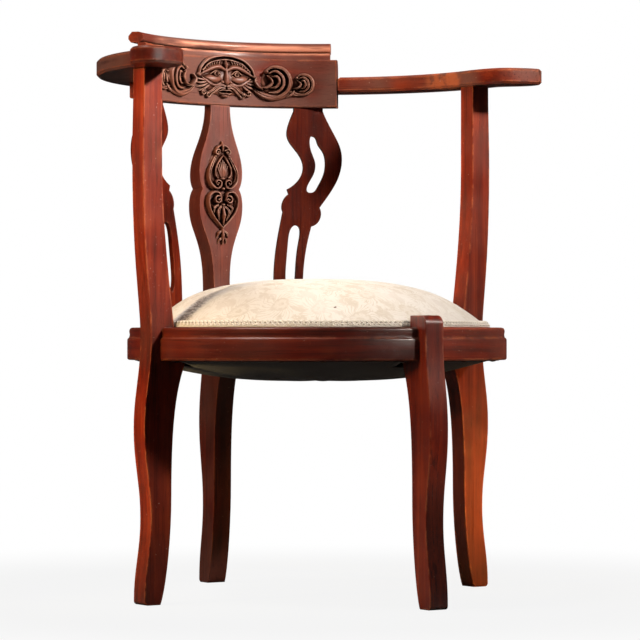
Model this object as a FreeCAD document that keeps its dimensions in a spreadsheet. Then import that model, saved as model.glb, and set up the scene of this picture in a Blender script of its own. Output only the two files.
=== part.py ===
import FreeCAD, Part
import math
import os
import re

import Sketcher
from FreeCAD import Placement, Rotation, Vector

# Corner chair with a round domed seat, four sawn S-shaped legs, three of which run on as posts,
# a horseshoe arm rail, and a moulded crest rail with applied carving.
# Millimetres, +Z up. The front leg points to -Y, the back post to +Y, the arms lie at -X and +X.
# Radii are measured from the upright axis through the middle of the seat.
# A size ending in _out is the distance outside the seat rail's face, and one ending in _in is inside it.

SIZES = {
    # seat rail
    "rail_radius": 262.5,
    "rail_width": 42.5,
    "rail_bottom": 326.0,
    "rail_top": 370.5,
    "rail_ledge_drop": 15.0,
    "rail_setback": 2.6,
    "rail_chamfer": 1.8,
    "rail_round": 4.8,
    "rail_cove": 0.8,
    # legs and posts
    "leg_thickness": 29.0,
    "foot_out": 23.5,
    "foot_in": 0.9,
    "toe_round": 5.0,
    "ankle_out": 13.5,
    "ankle_in": 18.0,
    "ankle_height": 115.0,
    "calf_height": 145.0,
    "knee_out": 23.9,
    "knee_in": 41.0,
    "knee_height": 235.0,
    "waist_out": 13.3,
    "post_in": 22.0,
    "shoulder_out": 26.2,
    "shoulder_in": 3.3,
    "shoulder_drop": 116.5,
    "post_top_out": 24.3,
    "pommel_rise": 15.5,
    "pommel_round": 12.0,
    # rail dowels through the legs
    "dowel_radius": 4.5,
    "dowel_reach": 24.0,
    "dowel_fit": 0.1,
    "dowel_low_in": 24.0,
    "dowel_low_rise": 13.0,
    "dowel_high_in": 13.0,
    "dowel_high_rise": 31.0,
    # arm rail
    "arm_bottom": 716.5,
    "arm_thickness": 22.0,
    "arm_in": 12.5,
    "arm_out": 42.5,
    "arm_chamfer": 3.0,
    "arm_shoulder_gap": 0.4,
    "hand_start": 18.0,
    "hand_length": 91.0,
    "hand_out": 70.5,
    "arm_dowel_radius": 6.0,
    "arm_dowel_up": 14.0,
    "arm_dowel_down": 30.0,
    "bow_dowel_radius": 4.0,
    "bow_dowel_reach": 24.0,
    "bow_dowel_spacing": 14.0,
    # crest rail
    "crest_in": 12.5,
    "crest_thickness": 24.0,
    "crest_drop": 22.5,
    "crest_board_height": 70.0,
    "crest_neck_height": 9.7,
    "crest_neck_in": 4.0,
    "crest_neck_thickness": 12.0,
    "crest_roll_height": 15.4,
    "crest_roll_in": 4.5,
    "crest_roll_out": 17.5,
    "crest_bearing": 40.6,
    "roll_bearing": 38.3,
    # crest screws
    "screw_radius": 2.2,
    "screw_head_radius": 4.6,
    "screw_head_height": 2.6,
    "screw_grip": 14.0,
    "screw_sink": 1.5,
    "screw_inner_bearing": 12.0,
    "screw_outer_bearing": 34.0,
    # back post above the seat
    "post_front_low_in": 15.5,
    "post_front_top_in": 11.5,
    "post_front_low_rise": 69.5,
    "post_back_mid_out": 16.5,
    "post_back_top_out": 5.5,
    "post_pattern_height": 323.5,
    "post_neck_width": 27.5,
    "post_lobe_width": 73.5,
    "post_notch_width": 62.0,
    "post_top_width": 33.0,
    "post_neck_drop": 260.0,
    "post_low_lobe_drop": 145.0,
    "post_notch_drop": 121.5,
    "post_high_lobe_drop": 98.0,
    "tenon_width": 22.0,
    "tenon_thickness": 10.0,
    "tenon_length": 15.0,
    "tenon_fit": 0.3,
    # side splats
    "splat_facing": 22.0,
    "splat_thickness": 7.0,
    "splat_foot_in": 19.8,
    "splat_top_in": 7.2,
    "splat_housing": 10.0,
    "splat_fit": 0.6,
    "splat_foot_left": -11.2,
    "splat_foot_right": 29.6,
    "splat_top_left": 19.0,
    "splat_top_right": 62.5,
    # seat
    "seat_edge_in": 26.0,
    "seat_crown_rise": 70.0,
    "cover_edge": 0.8,
    "cover_wadding": 3.5,
    "hessian_thickness": 1.2,
    "braid_width": 9.0,
    "braid_thickness": 2.4,
    # webbing and bottom cloth
    "web_width": 50.0,
    "web_thickness": 1.2,
    "web_inner_offset": 40.0,
    "web_outer_offset": 120.0,
    "web_end_gap": 0.6,
    "web_fold": 12.0,
    "bottom_edge_in": 10.0,
    "bottom_tacking": 14.0,
    "bottom_sag": 29.5,
    "bottom_thickness": 1.2,
    "bottom_notch_gap": 1.5,
    # applied carving
    "mask_relief": 12.0,
    "mask_half_width": 52.0,
    "mask_low": 4.0,
    "mask_high": 69.0,
    "scroll_relief": 8.0,
    "scroll_near": 54.0,
    "scroll_far": 141.0,
    "scroll_low": 8.0,
    "scroll_high": 53.0,
    "cartouche_relief": 8.0,
    "cartouche_half_width": 25.0,
    "cartouche_low_drop": 122.0,
    "cartouche_high_drop": 53.0,
    "drop_half_width": 25.0,
    "drop_low_drop": 201.0,
    "drop_high_drop": 124.0,
}

# Places worked out from the sizes, as expressions
LEDGE = "(rail_top - rail_ledge_drop)"
SHOULDER = "(arm_bottom - shoulder_drop)"
ARM_TOP = "(arm_bottom + arm_thickness)"
CREST_BOTTOM = "(arm_bottom - crest_drop)"
CREST_FRONT = "(rail_radius - crest_in)"
CREST_BACK = "(rail_radius - crest_in + crest_thickness)"
BOARD_TOP = "(arm_bottom - crest_drop + crest_board_height)"
NECK_TOP = "(arm_bottom - crest_drop + crest_board_height + crest_neck_height)"
ARM_INNER = "(rail_radius - arm_in)"
ARM_OUTER = "(rail_radius + arm_out)"
POST_CENTRE = "(rail_radius + (post_top_out - shoulder_in) / 2)"
SHOULDER_BEARING = "(crest_bearing + arm_shoulder_gap)"
FRAME_SHIFT = "((arm_out - foot_out) / 2)"
POST_FRONT_LOW = "(rail_radius - post_front_low_in)"
POST_FRONT_TOP = "(rail_radius - post_front_top_in)"
POST_FRONT_LOW_Z = "(rail_top + post_front_low_rise)"
SPLAT_RISE = "(arm_bottom - crest_drop - rail_top)"
POST_STRETCH = f"({SPLAT_RISE} / post_pattern_height)"
SPLAT_LEAN = f"atan((splat_foot_in - splat_top_in) / {SPLAT_RISE})"
SPLAT_SEAT = f"(splat_housing + splat_thickness / 2 * sin({SPLAT_LEAN}))"

ALIAS = re.compile(r"\b(" + "|".join(SIZES) + r")\b")

doc = FreeCAD.newDocument("corner_chair")
sheet = doc.addObject("Spreadsheet::Sheet", "Sizes")
for row, (alias, value) in enumerate(SIZES.items(), start=1):
    sheet.set(f"A{row}", alias)
    sheet.set(f"B{row}", str(value))
    sheet.setAlias(f"B{row}", alias)
doc.recompute()

parts = []


def bound(expression):
    """The expression with each size named as a cell of the sheet."""
    return ALIAS.sub(r"Sizes.\1", str(expression))


def number(expression):
    """The expression's present value."""
    return float(sheet.evalExpression(bound(expression)))


def bind(thing, name, expression):
    thing.setExpression(name, bound(expression))


# Sketches


def plane_of(body, role):
    return next(f for f in body.Origin.OriginFeatures if f.Role == role)


def new_sketch(body, name, plane, offset=None):
    sketch = body.newObject("Sketcher::SketchObject", name)
    sketch.AttachmentSupport = (plane_of(body, plane), [""])
    sketch.MapMode = "FlatFace"
    if offset is not None:
        sketch.AttachmentOffset = offset
    doc.recompute()
    return sketch


def lock(sketch, geometry, position, across, up):
    """Hold a point by its distances from the sketch's origin."""
    for kind, expression in (("DistanceX", across), ("DistanceY", up)):
        index = sketch.addConstraint(
            Sketcher.Constraint(kind, -1, 1, geometry, position, number(expression))
        )
        name = f"{kind}_{geometry}_{position}"
        sketch.renameConstraint(index, name)
        bind(sketch, "Constraints." + name, expression)


def add_line(sketch, start, end):
    index = sketch.addGeometry(Part.LineSegment(start, end))
    return index, 1, 2


def add_arc(sketch, start, end, radius, turn):
    """A short arc from start to end, turning left for turn 1 and right for turn -1."""
    chord = end - start
    half = chord.Length / 2
    size = number(radius)
    height = math.sqrt(max(size * size - half * half, 0.0))
    normal = Vector(-chord.y, chord.x, 0) / chord.Length
    centre = (start + end) / 2 + normal * height * turn
    first, last = (start, end) if turn > 0 else (end, start)
    angles = [math.atan2(p.y - centre.y, p.x - centre.x) for p in (first, last)]
    circle = Part.Circle(centre, Vector(0, 0, 1), size)
    index = sketch.addGeometry(Part.ArcOfCircle(circle, angles[0], angles[1]))
    rule = sketch.addConstraint(Sketcher.Constraint("Radius", index, size))
    sketch.renameConstraint(rule, f"Radius_{index}")
    bind(sketch, f"Constraints.Radius_{index}", radius)
    return (index, 1, 2) if turn > 0 else (index, 2, 1)


def add_curve(sketch, start, end, middle):
    """A smooth curve from start to end, drawn towards the control points between them."""
    inner = [Vector(number(a), number(b), 0) for a, b in middle]
    poles = [start, *inner, end]
    curve = Part.BSplineCurve(poles, None, None, False, 3, None, False)
    index = sketch.addGeometry(curve)
    handles = []
    for place, pole in enumerate(poles):
        handle = sketch.addGeometry(Part.Circle(pole, Vector(0, 0, 1), 2.0), True)
        if handles:
            rule = Sketcher.Constraint("Equal", handles[0], handle)
        else:
            rule = Sketcher.Constraint("Weight", handle, 1.0)
        sketch.addConstraint(rule)
        kind = "InternalAlignment:Sketcher::BSplineControlPoint"
        sketch.addConstraint(Sketcher.Constraint(kind, handle, 3, index, place))
        handles.append(handle)
    for handle, (across, up) in zip(handles[1:-1], middle):
        lock(sketch, handle, 3, across, up)
    return index, 1, 2


def outline(sketch, path, mirror=False):
    """A closed outline. Each entry is a corner, and after it how the edge to the next corner runs:
    nothing for a straight line, ("arc", radius, turn), or ("curve", [control points])."""
    sign = "-" if mirror else ""

    def flip(point):
        return (f"{sign}({point[0]})", point[1])

    corners = [flip(entry[:2]) for entry in path]
    points = [Vector(number(a), number(b), 0) for a, b in corners]
    edges = []
    for place, entry in enumerate(path):
        start, end = points[place], points[(place + 1) % len(path)]
        if len(entry) == 2:
            edges.append(add_line(sketch, start, end))
        elif entry[2] == "arc":
            turn = -entry[4] if mirror else entry[4]
            edges.append(add_arc(sketch, start, end, entry[3], turn))
        else:
            edges.append(add_curve(sketch, start, end, [flip(p) for p in entry[3]]))
    for place, (index, first, _) in enumerate(edges):
        before, _, last = edges[place - 1]
        sketch.addConstraint(Sketcher.Constraint("Coincident", before, last, index, first))
        lock(sketch, index, first, *corners[place])
    return sketch


def rectangle(sketch, left, low, right, high):
    return outline(sketch, [(left, low), (right, low), (right, high), (left, high)])


def hole_circle(sketch, across, up, radius):
    place = Vector(number(across), number(up), 0)
    index = sketch.addGeometry(Part.Circle(place, Vector(0, 0, 1), number(radius)))
    rule = sketch.addConstraint(Sketcher.Constraint("Radius", index, number(radius)))
    sketch.renameConstraint(rule, f"Radius_{index}")
    bind(sketch, f"Constraints.Radius_{index}", radius)
    lock(sketch, index, 3, across, up)
    return sketch


# Features


def new_body(name, turn=0.0):
    """A sub-part whose body is turned about the seat's axis and carried into the chair's frame."""
    body = doc.addObject("PartDesign::Body", name)
    body.Label = name
    body.Placement = Placement(Vector(0, 0, 0), Rotation(Vector(0, 0, 1), turn))
    bind(body, "Placement.Base.y", "-" + FRAME_SHIFT)
    parts.append(body)
    return body


def pad(body, sketch, length, symmetric=False, reverse=False):
    feature = body.newObject("PartDesign::Pad", "Pad_" + sketch.Name)
    feature.Profile = sketch
    if symmetric:
        feature.SideType = "Symmetric"
    feature.Reversed = reverse
    bind(feature, "Length", length)
    doc.recompute()
    return feature


def pocket(body, sketch, length, symmetric=False, reverse=False):
    """A cut that has to take something away."""
    before = body.Shape.Volume
    feature = body.newObject("PartDesign::Pocket", "Pocket_" + sketch.Name)
    feature.Profile = sketch
    if symmetric:
        feature.SideType = "Symmetric"
    feature.Reversed = reverse
    bind(feature, "Length", length)
    doc.recompute()
    if body.Shape.Volume > before - 1.0:
        raise RuntimeError(f"{body.Label}: {sketch.Name} cuts nothing")
    return feature


def revolve(body, sketch, angle, symmetric=False):
    feature = body.newObject("PartDesign::Revolution", "Turn_" + sketch.Name)
    feature.Profile = sketch
    feature.ReferenceAxis = (sketch, ["V_Axis"])
    feature.Midplane = symmetric
    bind(feature, "Angle", angle)
    doc.recompute()
    return feature


def chamfer(body, size, wanted):
    """Take the corner off every edge that the test picks out."""
    tip = body.Tip
    edges = [f"Edge{i}" for i, edge in enumerate(tip.Shape.Edges, start=1) if wanted(edge)]
    feature = body.newObject("PartDesign::Chamfer", "Chamfer_" + body.Label)
    feature.Base = (tip, edges)
    bind(feature, "Size", size)
    doc.recompute()
    return feature


def group(name, members):
    """Several like pieces as one sub-part of separate solids."""
    compound = doc.addObject("Part::Compound", name)
    compound.Label = name
    compound.Links = members
    bind(compound, "Placement.Base.y", "-" + FRAME_SHIFT)
    parts.append(compound)
    return compound


def peg(name, radius, length, place, axis, turn=0.0):
    """A round pin that starts at the place and runs along the axis, turned about the seat's axis."""
    pin = doc.addObject("Part::Cylinder", name)
    bind(pin, "Radius", radius)
    bind(pin, "Height", length)
    spin = Rotation(Vector(0, 0, 1), turn)
    at = spin.multVec(Vector(*[number(p) for p in place]))
    pin.Placement = Placement(at, spin * Rotation(Vector(0, 0, 1), Vector(*axis)))
    return pin


# Legs and posts

LEG_TURNS = {"right": 0.0, "back": 90.0, "left": 180.0, "front": 270.0}


def swell(low, high, low_share=0.4, high_share=0.4):
    """Control points of an S between two upright tangents."""
    (r_low, z_low), (r_high, z_high) = low, high
    rise = f"(({z_high}) - ({z_low}))"
    return [(r_low, f"{z_low} + {low_share} * {rise}"), (r_high, f"{z_high} - {high_share} * {rise}")]


def leg_outline(top):
    """The sawn outline from the seat rail down to the foot and up again, with the given top."""
    foot = ("rail_radius + foot_out", "toe_round")
    ankle = ("rail_radius + ankle_out", "ankle_height")
    knee = ("rail_radius + knee_out", "knee_height")
    waist = ("rail_radius + waist_out", LEDGE)
    inner = [
        ("rail_radius - post_in", "rail_top"),
        ("rail_radius - knee_in", "rail_bottom", "curve", [
            ("rail_radius - knee_in + 17", "rail_bottom - 40"),
            ("rail_radius - ankle_in", "rail_bottom - 88"),
        ]),
        ("rail_radius - ankle_in", "calf_height", "curve", [
            ("rail_radius - ankle_in", "0.6 * calf_height"),
            ("rail_radius - foot_in - 8.6", "0.14 * calf_height"),
        ]),
        ("rail_radius - foot_in", 0),
    ]
    outer = [
        ("rail_radius + foot_out - toe_round", 0, "arc", "toe_round", 1),
        (*foot, "curve", swell(foot, ankle)),
        (*ankle, "curve", swell(ankle, knee)),
        (*knee, "curve", swell(knee, waist)),
    ]
    return inner + outer + top(waist)


def dowel_holes(body):
    sketch = new_sketch(body, "DowelHoles_" + body.Label, "XZ_Plane")
    for inset, rise in (("dowel_low_in", "dowel_low_rise"), ("dowel_high_in", "dowel_high_rise")):
        hole_circle(sketch, f"rail_radius - {inset}", f"rail_bottom + {rise}", "dowel_radius + dowel_fit")
    pocket(body, sketch, "2 * leg_thickness", symmetric=True)


def post_top(waist):
    """The straight-grained post that carries the arm rail."""
    shoulder = ("rail_radius + shoulder_out", SHOULDER)
    crown = ("rail_radius + post_top_out", "arm_bottom")
    return [
        (*waist, "curve", swell(waist, shoulder, 0.2, 0.6)),
        (*shoulder, "curve", swell(shoulder, crown)),
        crown,
        ("rail_radius - shoulder_in", "arm_bottom"),
        ("rail_radius - shoulder_in", SHOULDER, "curve", [
            ("rail_radius - shoulder_in", f"{SHOULDER} - 0.35 * ({SHOULDER} - rail_top)"),
            ("rail_radius - post_in + 10.5", f"rail_top + 0.37 * ({SHOULDER} - rail_top)"),
        ]),
    ]


def pommel_top(waist):
    """The front leg's rounded block, which lies over the seat rail's top."""
    top = "(rail_top + pommel_rise)"
    return [
        waist,
        ("rail_radius + waist_out", f"{top} - pommel_round", "arc", "pommel_round", 1),
        ("rail_radius + waist_out - pommel_round", top),
        ("rail_radius - post_in", top),
    ]


def arm_post(name, side):
    body = new_body(name, LEG_TURNS[side])
    sketch = outline(new_sketch(body, "Outline_" + name, "XZ_Plane"), leg_outline(post_top))
    pad(body, sketch, "leg_thickness", symmetric=True)
    dowel_holes(body)
    offset = Placement(Vector(0, 0, number("arm_bottom")), Rotation())
    hole = new_sketch(body, "ArmDowelHole_" + name, "XY_Plane", offset)
    bind(hole, "AttachmentOffset.Base.z", "arm_bottom")
    hole_circle(hole, POST_CENTRE, 0, "arm_dowel_radius + dowel_fit")
    pocket(body, hole, "arm_dowel_down")
    return body


def front_leg():
    body = new_body("front_leg", LEG_TURNS["front"])
    sketch = outline(new_sketch(body, "Outline_front_leg", "XZ_Plane"), leg_outline(pommel_top))
    pad(body, sketch, "leg_thickness", symmetric=True)
    dowel_holes(body)
    return body


def back_post():
    """The back leg, which runs on above the seat as a wide lobed splat and ends in a tenon."""
    body = new_body("back_post", LEG_TURNS["back"])
    top = "(arm_bottom - crest_drop)"
    tenon_back = "(rail_radius - post_front_top_in + 3.5 + tenon_thickness)"

    def short_top(waist):
        return [waist, ("rail_radius + waist_out", "rail_top")]

    leg = outline(new_sketch(body, "Outline_back_leg", "XZ_Plane"), leg_outline(short_top))
    pad(body, leg, "leg_thickness", symmetric=True)
    middle = f"rail_top + 0.5 * ({top} - rail_top)"
    side = outline(new_sketch(body, "SplatSide", "XZ_Plane"), [
        ("rail_radius - post_in", "rail_top"),
        ("rail_radius + waist_out", "rail_top", "curve", [
            ("rail_radius + waist_out + 1", "rail_top + 0.15 * (arm_bottom - rail_top)"),
            ("rail_radius + post_back_mid_out", "rail_top + 0.3 * (arm_bottom - rail_top)"),
        ]),
        ("rail_radius + post_back_mid_out", middle, "curve", [
            ("rail_radius + post_back_mid_out", f"rail_top + 0.7 * ({top} - rail_top)"),
            ("rail_radius + post_back_top_out", f"rail_top + 0.85 * ({top} - rail_top)"),
        ]),
        ("rail_radius + post_back_top_out", top),
        (tenon_back, top),
        (tenon_back, f"{top} + tenon_length"),
        (f"{tenon_back} - tenon_thickness", f"{top} + tenon_length"),
        (f"{tenon_back} - tenon_thickness", top),
        (POST_FRONT_TOP, top),
        (POST_FRONT_LOW, POST_FRONT_LOW_Z, "curve", [
            (f"{POST_FRONT_LOW} - 1", f"{POST_FRONT_LOW_Z} - 0.4 * post_front_low_rise"),
            ("rail_radius - post_in + 2", f"{POST_FRONT_LOW_Z} - 0.7 * post_front_low_rise"),
        ]),
    ])
    pad(body, side, "post_lobe_width", symmetric=True)
    front = new_sketch(body, "SplatFront", "YZ_Plane")
    for mirror in (False, True):
        outline(front, splat_waste(top), mirror)
    pocket(body, front, "3 * rail_radius", symmetric=True)
    dowel_holes(body)
    return body


def below_crest(drop):
    """A height on the back post, whose pattern stretches with the space under the crest rail."""
    return f"{CREST_BOTTOM} - {drop} * {POST_STRETCH}"


def splat_waste(top):
    """What is sawn away beside the lobed outline, on one side."""
    neck = ("post_neck_width / 2", below_crest("post_neck_drop"))
    low_lobe = ("post_lobe_width / 2", below_crest("post_low_lobe_drop"))
    notch = ("post_notch_width / 2", below_crest("post_notch_drop"))
    high_lobe = ("post_lobe_width / 2", below_crest("post_high_lobe_drop"))
    head = ("post_top_width / 2", top)
    lobe_gap = "(post_low_lobe_drop - post_notch_drop)"
    return [
        ("leg_thickness / 2", "rail_top", "curve", swell(("leg_thickness / 2", "rail_top"), neck)),
        (*neck, "curve", swell(neck, low_lobe, 0.62, 0.36)),
        (*low_lobe, "curve", [
            ("post_lobe_width / 2", below_crest(f"(post_low_lobe_drop - 0.5 * {lobe_gap})")),
            ("post_notch_width / 2 + 3", below_crest(f"(post_notch_drop + 0.2 * {lobe_gap})")),
        ]),
        (*notch, "curve", [
            ("post_notch_width / 2 + 3", below_crest(f"(post_notch_drop - 0.2 * {lobe_gap})")),
            ("post_lobe_width / 2", below_crest(f"(post_high_lobe_drop + 0.5 * {lobe_gap})")),
        ]),
        (*high_lobe, "curve", swell(high_lobe, head, 0.35, 0.5)),
        head,
        ("tenon_width / 2", top),
        ("tenon_width / 2", f"{top} + 2 * tenon_length"),
        ("post_lobe_width", f"{top} + 2 * tenon_length"),
        ("post_lobe_width", "rail_top"),
    ]


# Seat rail in four quarters


def seat_rail(name, turn, splat_at=None):
    """A quarter of the round rail, cut square to fit between two legs."""
    body = new_body(name, turn)
    inner = "rail_radius - rail_width"
    face = "rail_radius - rail_setback"
    shoulder = "rail_top - rail_round"
    section = outline(new_sketch(body, "Section_" + name, "XZ_Plane"), [
        (inner, "rail_bottom"),
        ("rail_radius - rail_chamfer", "rail_bottom"),
        ("rail_radius", "rail_bottom + rail_chamfer"),
        ("rail_radius", f"{LEDGE} - 0.7 * rail_setback"),
        ("rail_radius - 0.3 * rail_setback", LEDGE),
        (face, f"{LEDGE} + 0.5 * rail_setback"),
        (f"{face} - rail_cove", f"({LEDGE} + {shoulder}) / 2"),
        (face, shoulder),
        (f"{face} - 0.2 * rail_round", "rail_top - 0.4 * rail_round"),
        (f"{face} - 0.55 * rail_round", "rail_top - 0.1 * rail_round"),
        (f"{face} - rail_round", "rail_top"),
        (inner, "rail_top"),
    ])
    revolve(body, section, "90")
    ends = new_sketch(body, "Ends_" + name, "XY_Plane")
    outline(ends, [
        ("-leg_thickness", "-leg_thickness"),
        ("2 * rail_radius", "-leg_thickness"),
        ("2 * rail_radius", "leg_thickness / 2"),
        ("leg_thickness / 2", "leg_thickness / 2"),
        ("leg_thickness / 2", "2 * rail_radius"),
        ("-leg_thickness", "2 * rail_radius"),
    ])
    pocket(body, ends, "3 * rail_top", symmetric=True)
    for plane, reverse in (("XZ_Plane", False), ("YZ_Plane", True)):
        holes = new_sketch(body, f"Holes_{plane}_{name}", plane)
        for inset, rise in (("dowel_low_in", "dowel_low_rise"), ("dowel_high_in", "dowel_high_rise")):
            hole_circle(holes, f"rail_radius - {inset}", f"rail_bottom + {rise}", "dowel_radius + dowel_fit")
        pocket(body, holes, "leg_thickness / 2 + dowel_reach + 1", reverse=reverse)
    if splat_at is not None:
        hand = 1 if splat_at == "right" else -1
        bearing = "90 - splat_facing" if hand == 1 else "splat_facing"
        offset = Placement(Vector(0, 0, number("rail_top")), Rotation(Vector(0, 0, 1), number(bearing)))
        slot = new_sketch(body, "SplatHousing_" + name, "XY_Plane", offset)
        bind(slot, "AttachmentOffset.Base.z", "rail_top")
        bind(slot, "AttachmentOffset.Rotation.Angle", bearing)
        near = f"-{hand} * splat_foot_left + {hand} * splat_fit"
        far = f"-{hand} * splat_foot_right - {hand} * splat_fit"
        half = "(splat_thickness / 2 + splat_fit)"
        middle = "rail_radius - splat_foot_in"
        rectangle(slot, f"{middle} - {half}", far, f"{middle} + {half}", near)
        pocket(body, slot, SPLAT_SEAT)
    return body


def rail_dowels():
    pins = []
    length = "leg_thickness + 2 * dowel_reach"
    start = "-(leg_thickness / 2 + dowel_reach)"
    for side, turn in LEG_TURNS.items():
        for level in ("low", "high"):
            place = (f"rail_radius - dowel_{level}_in", start, f"rail_bottom + dowel_{level}_rise")
            pins.append(peg(f"rail_dowel_{side}_{level}", "dowel_radius", length, place, (0, 1, 0), turn))
    return group("rail_dowels", pins)


# Arm rail


def on_bearing(radius, bearing):
    """A point at a radius, turned from +Y towards +X by the bearing."""
    return (f"{radius} * sin({bearing} * 1 deg)", f"{radius} * cos({bearing} * 1 deg)")


def arm_outline():
    """Plan of the right arm, from the middle of the back round to the hand and back."""
    behind_crest = on_bearing(CREST_BACK, SHOULDER_BEARING)
    beside_crest = on_bearing(ARM_INNER, SHOULDER_BEARING)
    inner_end = (f"sqrt({ARM_INNER} * {ARM_INNER} - hand_start * hand_start)", "-hand_start")
    outer_end = (f"sqrt({ARM_OUTER} * {ARM_OUTER} - 100)", "-10")
    hand = [
        (f"{ARM_INNER} + 0.5", "-0.42 * hand_length"),
        (f"{ARM_INNER} + 4", "-0.66 * hand_length"),
        (f"{ARM_INNER} + 16", "-0.9 * hand_length"),
        (f"{ARM_INNER} + 38", "-0.97 * hand_length"),
        ("rail_radius + hand_out - 26", "-1.02 * hand_length"),
        ("rail_radius + hand_out - 5", "-1.0 * hand_length"),
        ("rail_radius + hand_out + 3", "-0.76 * hand_length"),
        ("rail_radius + hand_out - 3", "-0.52 * hand_length"),
        (f"{ARM_OUTER} + 12", "-0.34 * hand_length"),
        (f"{ARM_OUTER} + 1", "-0.22 * hand_length"),
    ]
    return [
        (0, CREST_BACK, "arc", CREST_BACK, -1),
        behind_crest,
        (*beside_crest, "arc", ARM_INNER, -1),
        (*inner_end, "curve", hand),
        (*outer_end, "arc", ARM_OUTER, 1),
        (f"{ARM_OUTER} * sin(45 * 1 deg)", f"{ARM_OUTER} * cos(45 * 1 deg)", "arc", ARM_OUTER, 1),
        (0, ARM_OUTER),
    ]


def radial_sketch(body, name, bearing, radius, hand):
    """A sketch that faces the seat's axis from the given bearing and radius."""
    turn = Rotation(Vector(0, 1, 0), -hand * number(bearing))
    sketch = new_sketch(body, name, "XZ_Plane", Placement(turn.multVec(Vector(0, 0, -number(radius))), turn))
    return sketch


def arm(name, hand):
    body = new_body(name)
    offset = Placement(Vector(0, 0, number("arm_bottom")), Rotation())
    plan = new_sketch(body, "Plan_" + name, "XY_Plane", offset)
    bind(plan, "AttachmentOffset.Base.z", "arm_bottom")
    outline(plan, arm_outline(), mirror=hand < 0)
    pad(body, plan, "arm_thickness")
    low, high = number("arm_bottom"), number(ARM_TOP)

    def rim(edge):
        box = edge.BoundBox
        level = box.ZMax - box.ZMin < 0.01 and min(abs(box.ZMin - low), abs(box.ZMin - high)) < 0.01
        return level and box.XMax - box.XMin > 0.01

    chamfer(body, "arm_chamfer", rim)
    hole = new_sketch(body, "PostDowelHole_" + name, "XY_Plane", offset)
    bind(hole, "AttachmentOffset.Base.z", "arm_bottom")
    hole_circle(hole, f"{hand} * {POST_CENTRE}", 0, "arm_dowel_radius + dowel_fit")
    pocket(body, hole, "arm_dowel_up + 1", reverse=True)
    joint = new_sketch(body, "BowDowelHoles_" + name, "YZ_Plane")
    for side in (-1, 1):
        across = f"({CREST_BACK} + {ARM_OUTER}) / 2 + {side} * bow_dowel_spacing / 2"
        hole_circle(joint, across, "arm_bottom + arm_thickness / 2", "bow_dowel_radius + dowel_fit")
    pocket(body, joint, "bow_dowel_reach + 1", reverse=hand > 0)
    for place in ("inner", "outer"):
        bearing = f"screw_{place}_bearing"
        bore = radial_sketch(body, f"ScrewHole_{place}_{name}", bearing, CREST_FRONT, hand)
        hole_circle(bore, 0, "arm_bottom + arm_thickness / 2", "screw_radius + dowel_fit")
        pocket(body, bore, "2 * rail_width")
        start = f"{ARM_OUTER} - screw_head_height - screw_sink"
        sink = radial_sketch(body, f"ScrewSink_{place}_{name}", bearing, start, hand)
        hole_circle(sink, 0, "arm_bottom + arm_thickness / 2", "screw_head_radius + dowel_fit")
        pocket(body, sink, "2 * screw_head_height + screw_sink")
    return body


def arm_dowels():
    length = "arm_dowel_up + arm_dowel_down - 2"
    pins = []
    for name, hand in (("left", -1), ("right", 1)):
        place = (f"{hand} * {POST_CENTRE}", 0, "arm_bottom - arm_dowel_down + 1")
        pins.append(peg(f"arm_dowel_{name}", "arm_dowel_radius", length, place, (0, 0, 1)))
    return group("arm_dowels", pins)


def bow_dowels():
    pins = []
    for side in (-1, 1):
        across = f"({CREST_BACK} + {ARM_OUTER}) / 2 + {side} * bow_dowel_spacing / 2"
        place = ("-bow_dowel_reach", across, "arm_bottom + arm_thickness / 2")
        name = "bow_dowel_outer" if side > 0 else "bow_dowel_inner"
        pins.append(peg(name, "bow_dowel_radius", "2 * bow_dowel_reach", place, (1, 0, 0)))
    return group("bow_dowels", pins)


# Crest rail


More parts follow.
